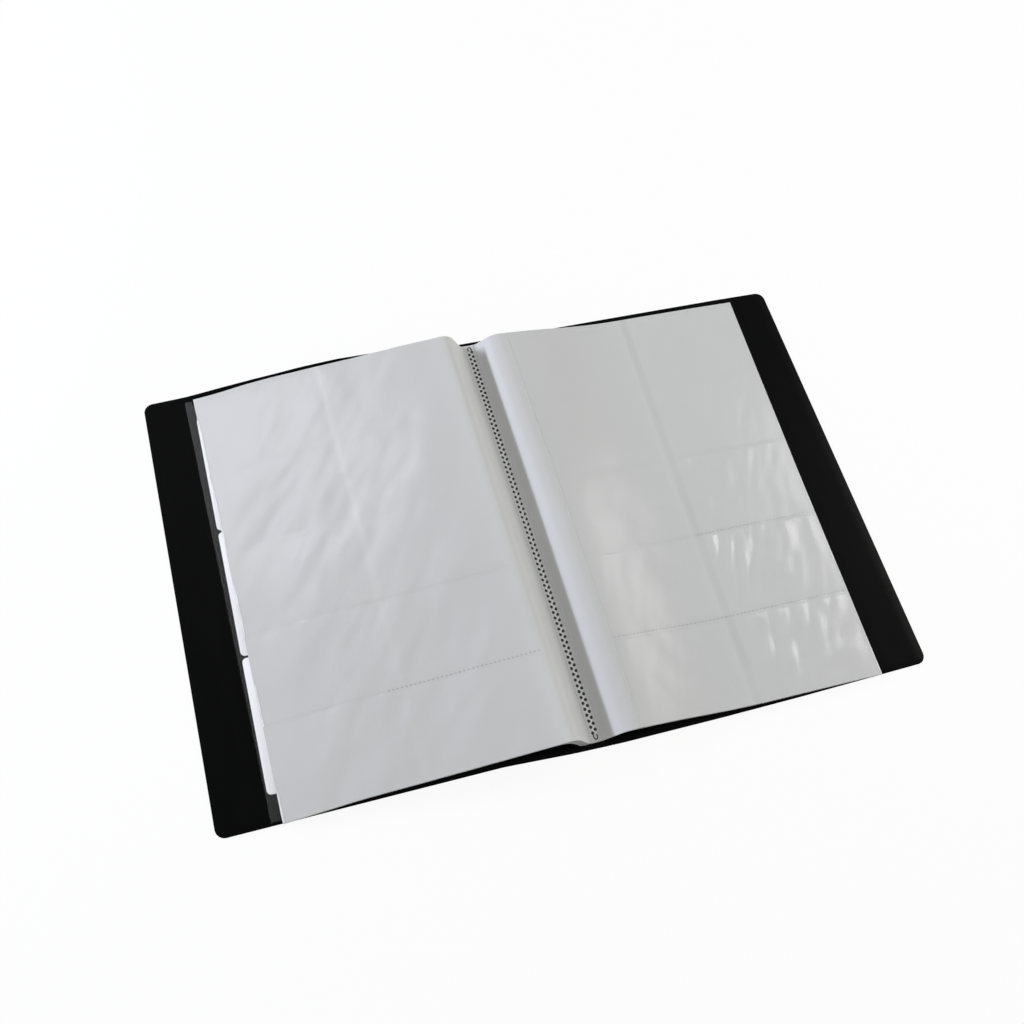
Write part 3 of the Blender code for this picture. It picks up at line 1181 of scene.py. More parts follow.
@dataclass(frozen=True)
class FilmSlack:
    """How a slack film stands off its sheet: a pillow in each pocket, wrinkles, and combs below the seams."""

    lean: float = 0.5
    seed: float = 11.3
    puff: float = 0.00035
    pillow_power: float = 0.75
    broad: Creases = Creases((0.034, 0.075), 4.0)
    broad_lean: float = -0.68
    broad_share: float = 0.6
    wrinkle: float = 0.00018
    fine: Creases = Creases((0.014, 0.055))
    comb: float = 0.00034
    teeth: Creases = Creases((0.0066, 0.024), 9.0)
    tooth_base: float = 0.5
    hang_start: float = 0.06
    hang_length: float = 0.55
    high_rows: Ramp = Ramp(-0.045, 0.05)
    high_calm: float = 0.52
    outer_comb: float = 1.8
    outer_fall: float = 1.2
    inner_comb: float = 0.10
    side_slope: float = 4.0
    pooled: Creases = Creases((0.017, 0.013), 13.0, -0.5, 0.25)
    pool_low: Ramp = Ramp(0.098, 0.018)
    pool_share: float = 0.9

    def heights(
        self, side: Side, pockets: tuple[Grid, Grid, Grid], along: Grid, across: Grid
    ) -> Grid:
        """How far the film stands off its sheet.

        Args:
            side: the leaf's side.
            pockets: the columns, the shares across the pockets and the shares down them.
            along: distances from the weld line.
            across: heights up the page.

        Returns:
            The distances, along x across.
        """
        column, px, py = pockets
        bow_x, bow_y = np.sin(np.pi * px)[:, None], np.sin(np.pi * py)[None, :]
        pillow = np.maximum(bow_x * bow_y, 0.0) ** self.pillow_power
        first, second = np.meshgrid(along, across, indexing="ij")
        seed = self.seed + side.value
        slanted = first + self.lean * second
        fine = self.fine.heights(slanted, second, seed)
        broad = self.broad.heights(first + self.broad_lean * self.lean * second, second, seed)
        teeth = self.teeth.heights(slanted, second, seed)
        pooled = self.pooled.heights(first, second, seed)
        hanging = np.minimum(py / self.hang_start, 1.0) * np.exp(-py / self.hang_length)
        hanging = hanging * (1.0 - self.high_calm * self.high_rows(across))
        outer = column > 0
        comb = np.where(outer, self.outer_comb - self.outer_fall * px, self.inner_comb)[:, None]
        comb = comb * np.minimum(bow_x * self.side_slope, 1.0) * hanging[None, :]
        comb = comb * (self.tooth_base + teeth)
        pool = self.pool_low(-across)[None, :] * outer[:, None] * pillow * pooled
        puffed = pillow * (self.puff * (1.0 + self.broad_share * broad) + self.wrinkle * fine)
        return puffed + self.comb * (comb + self.pool_share * pool)


@dataclass
class LeafStack:
    """The five pocket leaves on one side of the gutter."""

    side: Side
    profile: LeafProfile
    finishes: dict[str, bpy.types.Material]
    dots: DotTree
    wave: LeafWave = LeafWave()
    tone: SeamToneAndHighlight = SeamToneAndHighlight()
    slack: FilmSlack = FilmSlack()
    count: int = 5
    leaf_top: float = PAGE_TOP
    leaf_bottom: float = PAGE_BOTTOM
    edge_seam: float = 0.0005
    rows: int = 5
    pocket_width: float = 0.092
    seam_half: float = 0.0022
    film_thickness: float = 0.00008
    film_gap: float = 0.0001
    sheet_thickness: float = 0.00015
    leaf_pitch: float = 0.00066
    mouth_inset: float = 0.0022
    mouth_opening: float = 0.0007
    mouth_side: float = 0.0018
    # The fan of the leaves, and how they are drawn out at the head and the foot.
    fan_spread: float = 0.0034
    foot_fan: float = 0.65
    fan_out: Ramp = Ramp(0.018, 0.042)
    fan_drop: float = 0.0012
    fan_length: float = 0.19
    past_weld: Ramp = Ramp(0.004, 0.014)
    head_shift: float = 0.0014
    head_stretch: float = 0.9
    shift_end: Ramp = Ramp(0.150, 0.055)
    head_pull: float = 0.0
    pull_start: Ramp = Ramp(0.006, 0.010)
    pull_end: Ramp = Ramp(0.020, 0.030)
    foot_pull: float = 0.0
    foot_out: Ramp = Ramp(0.05, 0.08)
    # How the leaves swell, and how far the lower ones keep below the top one's crest.
    lift_height: float = 0.0006
    lift_start: Ramp = Ramp(0.006, 0.014)
    lift_sag: float = 0.35
    sag_start: Ramp = Ramp(0.060, 0.050)
    lift_end: Ramp = Ramp(0.150, 0.055)
    crest_gap: float = 0.0019
    near_crest: Hump = Hump(0.0, 0.007)
    past_foot: Ramp = Ramp(0.0, 0.008)
    # The widest spaces between mesh lines, and how many leaves get the fine ones.
    fine_sheets: int = 2
    sheet_step: float = 0.003
    low_sheet_step: float = 0.005
    fold_step: float = 0.0008
    fold_reach: float = 0.012
    seam_step: float = 0.001
    column_marks: int = 6
    row_marks: int = 4
    shown_films: int = 2
    film_step: float = 0.0022
    low_film_step: float = 0.006
    thin_start: Ramp = Ramp(-0.002, 0.002)
    # Where the sheets would bend between their bodies; the sheets are not bent.
    weld_bend: tuple[float, float] = (0.0005, 0.0065)
    fold_start: float = 0.0014
    crest_bend: tuple[float, float] = (0.003, 0.004)
    # Dots, bead and lip: row, start, end and relative size of each dotted length, then the styles.
    dotted: tuple[tuple[int, float, float, float], ...] = (
        (4, 0.0, 0.55, 1.0),
        (4, 0.55, 1.0, 0.5),
        (3, 0.0, 0.6, 0.5),
    )
    normal_step: float = 0.0004
    dot_style: DotStyle = DotStyle(0.0029, 0.00046, 0.00008)
    dot_inset: float = 0.0006
    dot_step: float = 0.003
    bead_style: DotStyle = DotStyle(0.0006, 0.00030, 0.00012, 1.6)
    bead_offset: float = 0.0005
    bead_step: float = 0.004
    lip_style: DotStyle = DotStyle(0.0007, 0.00062, 0.00011, 1.5)
    lip_inset: float = 0.0007
    lip_ends: tuple[float, float] = (0.0008, 0.0040)
    lip_step: float = 0.0012
    lip_starts: tuple[float, ...] = (0.20, 0.0, 0.30, 0.45, 0.55)
    lip_growth: float = 0.25
    lip_least: float = 0.02
    lip_even: float = 0.8
    lip_uneven: float = 0.5
    lip_cell: float = 0.009
    lip_seed: float = 5.1

    @property
    def row_height(self) -> float:
        """The pitch of the pocket rows."""
        return (self.leaf_top - self.leaf_bottom - 2 * self.edge_seam) / self.rows

    def row_seam(self, row: int) -> float:
        """The height up the page of the seam below a number of rows."""
        return self.leaf_top - self.edge_seam - row * self.row_height

    def turns(self, number: int) -> bool:
        """True for the leaf that turns over by itself."""
        return self.side is Side.LEFT and number == 1

    def surface(self, number: int, along: Grid, across: Grid, depth: Value) -> Grid:
        """Points of a leaf at a depth below its face, with the fan of the leaves and their slight wave.

        Args:
            number: the leaf, from the top.
            along: distances from the weld line.
            across: heights up the page.
            depth: how far below the face of the top leaf, a number or a grid.

        Returns:
            The points, along x across x 3.
        """
        walked = np.array([self.profile.walk(float(distance)) for distance in along])
        u, z, heading = (walked[:, [column]] for column in range(3))
        y = np.broadcast_to(across[None, :], (len(along), len(across)))
        reach = np.broadcast_to(u, y.shape)
        out = self.fan_out(reach)
        share = np.where(y > 0.0, 1.0, self.foot_fan) * y / HALF_PAGE
        pulled = self.pull_start(reach) * self.pull_end.falling(reach)
        spread = self.fan_spread * share * out - self.head_pull * pulled * TO_HEAD(y)
        drop = self.fan_drop * np.clip((reach - self.fan_out.start) / self.fan_length, 0.0, 1.0)
        rise = self.head_shift * self.past_weld(reach) * self.shift_end.falling(reach)
        rise = rise * (1.0 + self.head_stretch * TO_HEAD(y))
        foot = self.foot_pull * TO_HEAD(-y) * self.foot_out(reach)
        waved = self.wave.heights(self.profile, self.side, np.broadcast_to(along[:, None], y.shape), y)
        lift = waved - depth - self.gap(number, along)
        skew = gutter_skew(y)
        held = np.where(skew > 0.0, 1.0 - (number - 1) / (self.count - 1), 1.0)
        points = np.empty((*y.shape, 3))
        points[..., 0] = self.side.value * (reach - lift * np.sin(heading) + spread)
        points[..., 0] += held * skew * (1.0 - out)
        points[..., 1] = y - drop + rise - foot + gutter_rise(y) * self.past_weld.falling(reach)
        points[..., 2] = z + lift * np.cos(heading) + self.swell(reach)
        return points

    def swell(self, reach: Grid) -> Grid:
        """How far the side's leaves stand above or below their plain profile.

        Args:
            reach: distances from the spine's middle.

        Returns:
            The heights in the same shape.
        """
        sag = 1.0 - self.lift_sag * self.sag_start(reach)
        return self.lift_height * self.lift_start(reach) * sag * self.lift_end.falling(reach)

    def gap(self, number: int, along: Grid) -> Value:
        """How far a lower leaf keeps below the crest of the top one.

        Args:
            number: the leaf, from the top.
            along: distances from the weld line.

        Returns:
            The distances, along x 1, or 0 for the top leaf.
        """
        if number == 1:
            return 0.0
        near = self.near_crest(along - self.profile.crest) * self.past_foot(along)
        return self.crest_gap * near[:, None]

    def normals(self, points: Grid) -> Grid:
        """Upward unit normals of a grid of points.

        Args:
            points: the grid, along x across x 3.

        Returns:
            The normals in the same shape.
        """
        du = np.gradient(points, axis=0) * self.side.value
        dv = np.gradient(points, axis=1)
        up = np.cross(du, dv)
        return up / np.linalg.norm(up, axis=-1, keepdims=True)

    def in_pocket(self, along: Grid, across: Grid) -> tuple[Grid, Grid, Grid]:
        """Where places lie in their pockets.

        Args:
            along: distances from the weld line.
            across: heights up the page.

        Returns:
            The column, 0 or 1, and the share of the way across the pocket, both along; and the share of
            the way down it, across.
        """
        panel = along - self.profile.seam
        column = np.clip(np.floor(panel / self.pocket_width), 0, 1)
        opening = self.pocket_width - 2 * self.seam_half
        px = (panel - column * self.pocket_width - self.seam_half) / opening
        down = (self.row_seam(0) - across) / self.row_height
        py = down - np.clip(np.floor(down), 0, self.rows - 1)
        return column, np.clip(px, 0.0, 1.0), np.clip(py, 0.0, 1.0)

    def mouths(self) -> list[tuple[float, float]]:
        """The lips of the pocket mouths up the page.

        Returns:
            The lower and the upper lip in each row.
        """
        tops = [self.row_seam(row) - self.mouth_inset for row in range(self.rows)]
        return [(top - self.mouth_opening, top) for top in tops]

    @staticmethod
    def marks(ends: list[float], step: float) -> Grid:
        """Evenly filled marks between fixed ones.

        Args:
            ends: the marks that have to be there.
            step: the widest space between two marks.

        Returns:
            The sorted marks.
        """
        fixed = sorted(set(round(value, MARK_DIGITS) for value in ends))
        filled = [fixed[0]]
        for low, high in zip(fixed, fixed[1:]):
            count = max(1, math.ceil((high - low) / step))
            filled += [low + (high - low) * part / count for part in range(1, count + 1)]
        return np.array(filled)

    def sheet_depths(self, number: int, along: Grid) -> tuple[Grid, Grid]:
        """The depths of a sheet's two faces: thick in the fused margin, thin between the films.

        Args:
            number: the leaf, from the top.
            along: distances from the weld line.

        Returns:
            The upper and the lower face's depths, along x 1.
        """
        top = (number - 1) * self.leaf_pitch + self.film_gap
        thinned = self.thin_start(along - self.profile.seam)[:, None] * self.film_thickness
        return top + thinned, top + 2 * self.film_thickness + self.sheet_thickness - thinned

    def sheet(self, number: int, start: float, end: float, name: str) -> bpy.types.Object:
        """A length of a leaf's white sheet.

        Args:
            number: the leaf, from the top.
            start: where it starts, from the weld line.
            end: where it ends.
            name: the piece's name.

        Returns:
            The piece.
        """
        profile = self.profile
        row_seams = [self.row_seam(row) for row in range(1, self.rows)]
        folds = np.arange(0.0, profile.seam + self.fold_reach, self.fold_step)
        wanted, heights = [profile.crest, profile.seam, *folds], [self.leaf_bottom, self.leaf_top]
        step = self.low_sheet_step
        if number <= self.fine_sheets:
            step = self.sheet_step
            column = profile.seam + self.pocket_width
            by_column = range(-self.column_marks, self.column_marks + 1)
            by_row = range(-self.row_marks, self.row_marks + 1)
            wanted += [column + part * self.seam_step for part in by_column]
            heights += [seam + part * self.seam_step for seam in row_seams for part in by_row]
        along = self.marks([start, end] + [mark for mark in wanted if start < mark < end], step)
        across = self.marks(heights, step)
        depths = self.sheet_depths(number, along)
        upper, lower = (self.surface(number, along, across, depth) for depth in depths)
        mesh = shell_mesh(name, upper, lower)
        # Seam tones and painted highlights for the sheet's colour, the same on both faces.
        tone = self.tone.tones(profile, self.pocket_width, row_seams, along, across).ravel()
        attribute = mesh.attributes.new(SEAM_TONE_AND_HIGHLIGHT, "FLOAT", "POINT")
        attribute.data.foreach_set("value", np.concatenate([tone, tone]))
        piece = link_piece(name, mesh, self.finishes["sheet"])
        return piece

    def film_points(self, number: int, face: Face, along: Grid, across: Grid) -> tuple[Grid, Grid]:
        """The upper and lower points of a film; the top leaf's upper film is slack.

        Args:
            number: the leaf, from the top.
            face: the face that it lies on.
            along: distances from the weld line.
            across: heights up the page.

        Returns:
            The film's upper and lower points.
        """
        depth: Value = (number - 1) * self.leaf_pitch
        if face is Face.LOWER:
            depth += self.film_thickness + 2 * self.film_gap + self.sheet_thickness
        elif number == 1:
            depth = depth - self.slack.heights(self.side, self.in_pocket(along, across), along, across)
        upper = self.surface(number, along, across, depth)
        return upper, self.surface(number, along, across, depth + self.film_thickness)

    def film(self, number: int, face: Face, name: str) -> bpy.types.Object:
        """One of a leaf's clear films, with a slit mouth in every pocket.

        Args:
            number: the leaf, from the top.
            face: the face that it lies on.
            name: the piece's name.

        Returns:
            The piece.
        """
        seam, width = self.profile.seam, self.pocket_width
        sides = [seam + column * width + inset for column in (0, 1) for inset in (0.0, self.mouth_side)]
        sides += [seam + column * width - self.mouth_side for column in (1, 2)] + [seam + 2 * width]
        lips = [lip for span in self.mouths() for lip in span]
        shown = face is Face.UPPER and number <= self.shown_films
        step = self.film_step if shown else self.low_film_step
        along = self.marks(sides, step)
        across = self.marks([self.leaf_bottom, self.leaf_top] + lips, step)
        middle_s = (along[:-1] + along[1:]) / 2 - seam
        middle_y = (across[:-1] + across[1:]) / 2
        in_column = np.zeros(len(middle_s), bool)
        for column in (0, 1):
            place = middle_s - column * width
            in_column |= (place > self.mouth_side) & (place < width - self.mouth_side)
        in_mouth = np.zeros(len(middle_y), bool)
        for low, high in self.mouths():
            in_mouth |= (middle_y > low) & (middle_y < high)
        kept = ~(in_column[:, None] & in_mouth[None, :])
        upper, lower = self.film_points(number, face, along, across)
        piece = link_piece(name, shell_mesh(name, upper, lower, kept), self.finishes["film"])
        return piece

    def seam_line(self, number: int, along: Grid, across: Grid, relative: Grid) -> Line:
        """A line on a leaf's upper film.

        Args:
            number: the leaf, from the top.
            along: distances from the weld line; a line up the page has one.
            across: heights up the page; a line across the page has one.
            relative: the dots' relative sizes along the line.

        Returns:
            The line's points, the film's normals there and the sizes.
        """
        near = np.array([-1.0, 0.0, 1.0]) * self.normal_step
        upright = len(along) == 1
        if upright:
            points = self.film_points(number, Face.UPPER, along + near, across)[0]
        else:
            points = self.film_points(number, Face.UPPER, along, across + near)[0]
        pick = (1, slice(None)) if upright else (slice(None), 1)
        return points[pick], self.normals(points)[pick], relative

    def trim(self, name: str, lines: list[Line], style: DotStyle, finish: str) -> bpy.types.Object:
        """Dots along lines on a film.

        Args:
            name: the piece's name.
            lines: the lines.
            style: the dots' spacing and sizes.
            finish: the name of their finish.

        Returns:
            The piece.
        """
        piece = self.dots.dots(name, lines, style, self.finishes[finish])
        return piece

    def seams(self, number: int, name: str) -> bpy.types.Object:
        """The dotted welds on a leaf's upper film, where its row seams show them.

        Args:
            number: the leaf, from the top.
            name: the piece's name.

        Returns:
            The piece.
        """
        length = 2 * self.pocket_width - 2 * self.dot_inset
        lines = []
        for row, start, end, relative in self.dotted:
            ends = self.profile.seam + (self.dot_inset + length * np.array([start, end]))
            along = self.marks(ends.tolist(), self.dot_step)
            sizes = np.full(len(along), relative)
            lines.append(self.seam_line(number, along, np.array([self.row_seam(row)]), sizes))
        return self.trim(name, lines, self.dot_style, "seam")

    def bead(self, number: int, name: str) -> bpy.types.Object:
        """The fine bead along a leaf's inner pocket seam.

        Args:
            number: the leaf, from the top.
            name: the piece's name.

        Returns:
            The piece.
        """
        ends = [self.leaf_bottom + self.dot_inset, self.leaf_top - self.dot_inset]
        up_page = self.marks(ends, self.bead_step)
        place = np.array([self.profile.seam + self.bead_offset])
        line = self.seam_line(number, place, up_page, np.ones(len(up_page)))
        return self.trim(name, [line], self.bead_style, "bead")

    def lip(self, number: int, name: str) -> bpy.types.Object:
        """The welded lip along a leaf's fore edge, bright in colour to paint its highlight; it lifts in the
        lower part of each pocket.

        Args:
            number: the leaf, from the top.
            name: the piece's name.

        Returns:
            The piece.
        """
        foot, head = self.lip_ends
        up_page = self.marks([self.leaf_bottom + foot, self.leaf_top - head], self.lip_step)
        down = (self.row_seam(0) - up_page) / self.row_height
        row = np.clip(np.floor(down), 0, self.rows - 1).astype(int)
        lifted = smooth_step((down - row - np.array(self.lip_starts)[row]) / self.lip_growth)
        patches = noise_grid(up_page / self.lip_cell, up_page * 0.0, self.lip_seed, 1)
        sizes = lifted * (self.lip_even + self.lip_uneven * patches) + self.lip_least
        place = np.array([self.profile.end - self.lip_inset])
        return self.trim(name, [self.seam_line(number, place, up_page, sizes)], self.lip_style, "lip")

    def build_leaf(self, number: int) -> None:
        """Build one leaf and hang its films and trims on its panel's body.

        Args:
            number: the leaf, from the top.
        """
        profile, label = self.profile, self.side.label
        node = f"{label}_leaf_{number}"
        panel_body = "turning_leaf" if self.turns(number) else f"{label}_leaves"
        if self.turns(number):
            margin = self.sheet(number, 0.0, profile.crest, f"{node}_margin_sheet")
            self.bend(margin, "left_margins", "turning_margin", *self.weld_bend)
            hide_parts(f"{node}_margin")
            panel = self.sheet(number, profile.crest, profile.end, f"{node}_panel_sheet")
            self.bend(panel, "turning_band", "turning_leaf", profile.crest + self.fold_start, profile.seam)
            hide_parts(f"{node}_fold_band", f"{node}_sheet")
        else:
            before, after = self.crest_bend
            whole = self.sheet(number, 0.0, profile.end, f"{node}_whole_sheet")
            self.bend(
                whole, f"{label}_margins", f"{label}_leaves", profile.crest - before, profile.crest + after
            )
            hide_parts(f"{node}_margin", f"{node}_sheet")
        for face in Face:
            film = self.film(number, face, f"{node}_{face.value}_pocket_film")
            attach(film, panel_body)
            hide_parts(f"{node}_{face.value}_film")
        if number <= self.shown_films:
            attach(self.seams(number, f"{node}_seam_dots"), panel_body)
        if number == 1:
            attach(self.lip(number, f"{node}_edge_lip"), panel_body)
        if number == 1 and self.side is Side.RIGHT:
            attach(self.bead(number, f"{node}_seam_bead"), panel_body)

    def bend(self, piece: bpy.types.Object, inner: str, outer: str, start: float, end: float) -> None:
        """Bake a sheet's place into its mesh; the bend's ends are walked on the profile, but the sheet is not
        bent.

        Args:
            piece: the sheet.
            inner: the body on the gutter side; not used.
            outer: the body on the fore edge side; not used.
            start: where the bend starts, from the weld line.
            end: where it ends.
        """
        for distance in (start, end):
            u, z, _ = self.profile.walk(distance)
            self.side.value * u
        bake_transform(piece)

    def build(self) -> None:
        """Build all leaves of the side."""
        for number in range(1, self.count + 1):
            self.build_leaf(number)


# ---------------------------------------------------------------- cover


@dataclass
class Cover:
    """The scored cover: two boards and a spine of one black sheet."""

    finish: bpy.types.Material
    panel_width: float = 0.232
    crease_x: float = 0.013
    half_height: float = 0.155
    thickness: float = 0.0008
    corner_radius: float = 0.0065
    crease_gap: float = 0.0004
    edge: float = 0.00018
    # How the front board bows up across the album, where that starts up the page, and its head's curl.
    bow_places: tuple[float, ...] = (
        -0.245, -0.215, -0.190, -0.160, -0.130, -0.100, -0.070, -0.045, -0.020
    )
    bow_heights: tuple[float, ...] = (0.0, 0.0010, 0.0036, 0.0074, 0.0100, 0.0105, 0.0090, 0.0050, 0.0)
    bow_start: float = 0.128
    bow_spread: float = 0.08
    spread_start: Ramp = Ramp(-0.150, 0.060)
    bow_end: float = 0.152
    curl: float = 0.0018
    curl_start: Ramp = Ramp(0.1505, 0.0045)
    curl_bow: float = 0.0036
    flat_share: float = 0.2
    # How far the head and foot edges are drawn out across the album.
    to_end: Ramp = Ramp(0.110, 0.045)
    foot_places: tuple[float, ...] = (-0.060, -0.013, 0.020, 0.090, 0.150, 0.245)
    foot_reach: tuple[float, ...] = (0.0003, 0.0029, 0.0038, 0.0040, 0.0035, 0.0017)
    head_places: tuple[float, ...] = (
        -0.200, -0.150, -0.105, -0.057, 0.0, 0.040, 0.100, 0.150, 0.210, 0.245
    )
    head_reach: tuple[float, ...] = (
        0.0, 0.0008, 0.0026, 0.0030, 0.0032, 0.0026, 0.0024, 0.0020, 0.0014, 0.0006
    )
    # The lines that cut up a board's mesh, and the thin webs along the creases.
    line_step: float = 0.008
    first_line: float = -0.150
    line_pitch: float = 0.0125
    line_count: int = 25
    head_lines: tuple[float, ...] = (0.1515, 0.153, 0.1542)
    web_points: tuple[int, int] = (13, 40)
    web_half: float = 0.0011
    web_inset: float = 0.0003
    web_top_gap: float = 0.00012
    web_base: float = 0.00010
    web_dip: float = 0.00020
    dip: Hump = Hump(0.0, 0.0004)
    bend_half: float = 0.0004

    def reach(self, x: float, y: float) -> float:
        """How far the cover's head and foot edges are drawn out beyond the leaves at a place.

        Args:
            x: the place across the album.
            y: the place up the page.

        Returns:
            The shift in Y.
        """
        foot = float(self.to_end(-y)) * float(np.interp(x, self.foot_places, self.foot_reach))
        head = float(self.to_end(y)) * float(np.interp(x, self.head_places, self.head_reach))
        return head - foot

    def bow(self, x: float, y: float) -> float:
        """How far the front board bows up under the leaves: most at the head, where its edge also curls.

        Args:
            x: the place across the album.
            y: the place up the page.

        Returns:
            The height above the flat board.
        """
        height = float(np.interp(x, self.bow_places, self.bow_heights))
        start = self.bow_start - self.bow_spread * float(self.spread_start(x))
        share = float(Ramp(start, self.bow_end - start)(y))
        lip = self.curl * float(self.curl_start(y)) * min(1.0, height / self.curl_bow)
        return height * share + lip

    def board(
        self,
        name: str,
        low: float,
        high: float,
        radii: tuple[float, ...] = (0.0, 0.0, 0.0, 0.0),
        rise: Callable[[float, float], float] = level,
    ) -> bpy.types.Object:
        """One panel of the cover.

        Args:
            name: the piece's name.
            low: its lower X.
            high: its higher X.
            radii: its corners' radii.
            rise: how far it bows.

        Returns:
            The piece.
        """
        outline = rounded_outline((low, -self.half_height), (high, self.half_height), radii)
        count = max(2, round((high - low) / self.line_step))
        lines_x = [low + (high - low) * part / count for part in range(1, count)]
        lines_y = [self.first_line + self.line_pitch * part for part in range(self.line_count)]
        lines = (lines_x, lines_y + list(self.head_lines))
        mesh = plate_mesh(name, outline, 0.0, self.thickness, self.edge, lines, rise, self.reach)
        piece = link_piece(name, mesh, self.finish)
        return piece

    def web(self, name: str, side: Side) -> bpy.types.Object:
        """The thin web that is left along a crease.

        Args:
            name: the piece's name.
            side: the crease's side.

        Returns:
            The piece.
        """
        middle = side.value * self.crease_x
        half = self.half_height - self.web_inset
        across = np.linspace(-self.web_half, self.web_half, self.web_points[0])
        y = np.linspace(-half, half, self.web_points[1])
        shape = np.zeros((len(across), len(y), 3))
        shape[..., 0] = middle + across[:, None]
        shape[..., 1] = y[None, :] + np.array([self.reach(middle, place) for place in y])
        upper, lower = shape.copy(), shape.copy()
        upper[..., 2] = (self.thickness - self.web_top_gap - self.web_dip * self.dip(across))[:, None]
        lower[..., 2] = self.web_base
        piece = link_piece(name, shell_mesh(name, upper, lower), self.finish)
        return piece

    def build(self) -> None:
        """Build the cover and hang its boards on their bodies."""
        inner = self.crease_x + self.crease_gap / 2
        outer = self.crease_x + self.panel_width
        radius = self.corner_radius
        front = self.board("front_board", -outer, -inner, (radius, 0.0, 0.0, radius), self.bow)
        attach(front, "front_cover")
        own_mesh(front)
        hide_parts("front_cover")
        back = self.board("back_board", inner, outer, (0.0, radius, radius, 0.0))
        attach(back, "back_cover")
        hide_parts("back_cover")
        half = self.crease_x - self.crease_gap / 2
        spine = self.board("spine_board", -half, half)
        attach(spine, "spine")
        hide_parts("spine")
        for side, board in ((Side.LEFT, "front"), (Side.RIGHT, "back")):
            web = self.web(f"{board}_crease_web", side)
            middle, half_bend = side.value * self.crease_x, side.value * self.bend_half
            middle - half_bend
            middle + half_bend
            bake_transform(web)


# ---------------------------------------------------------------- gutter weld


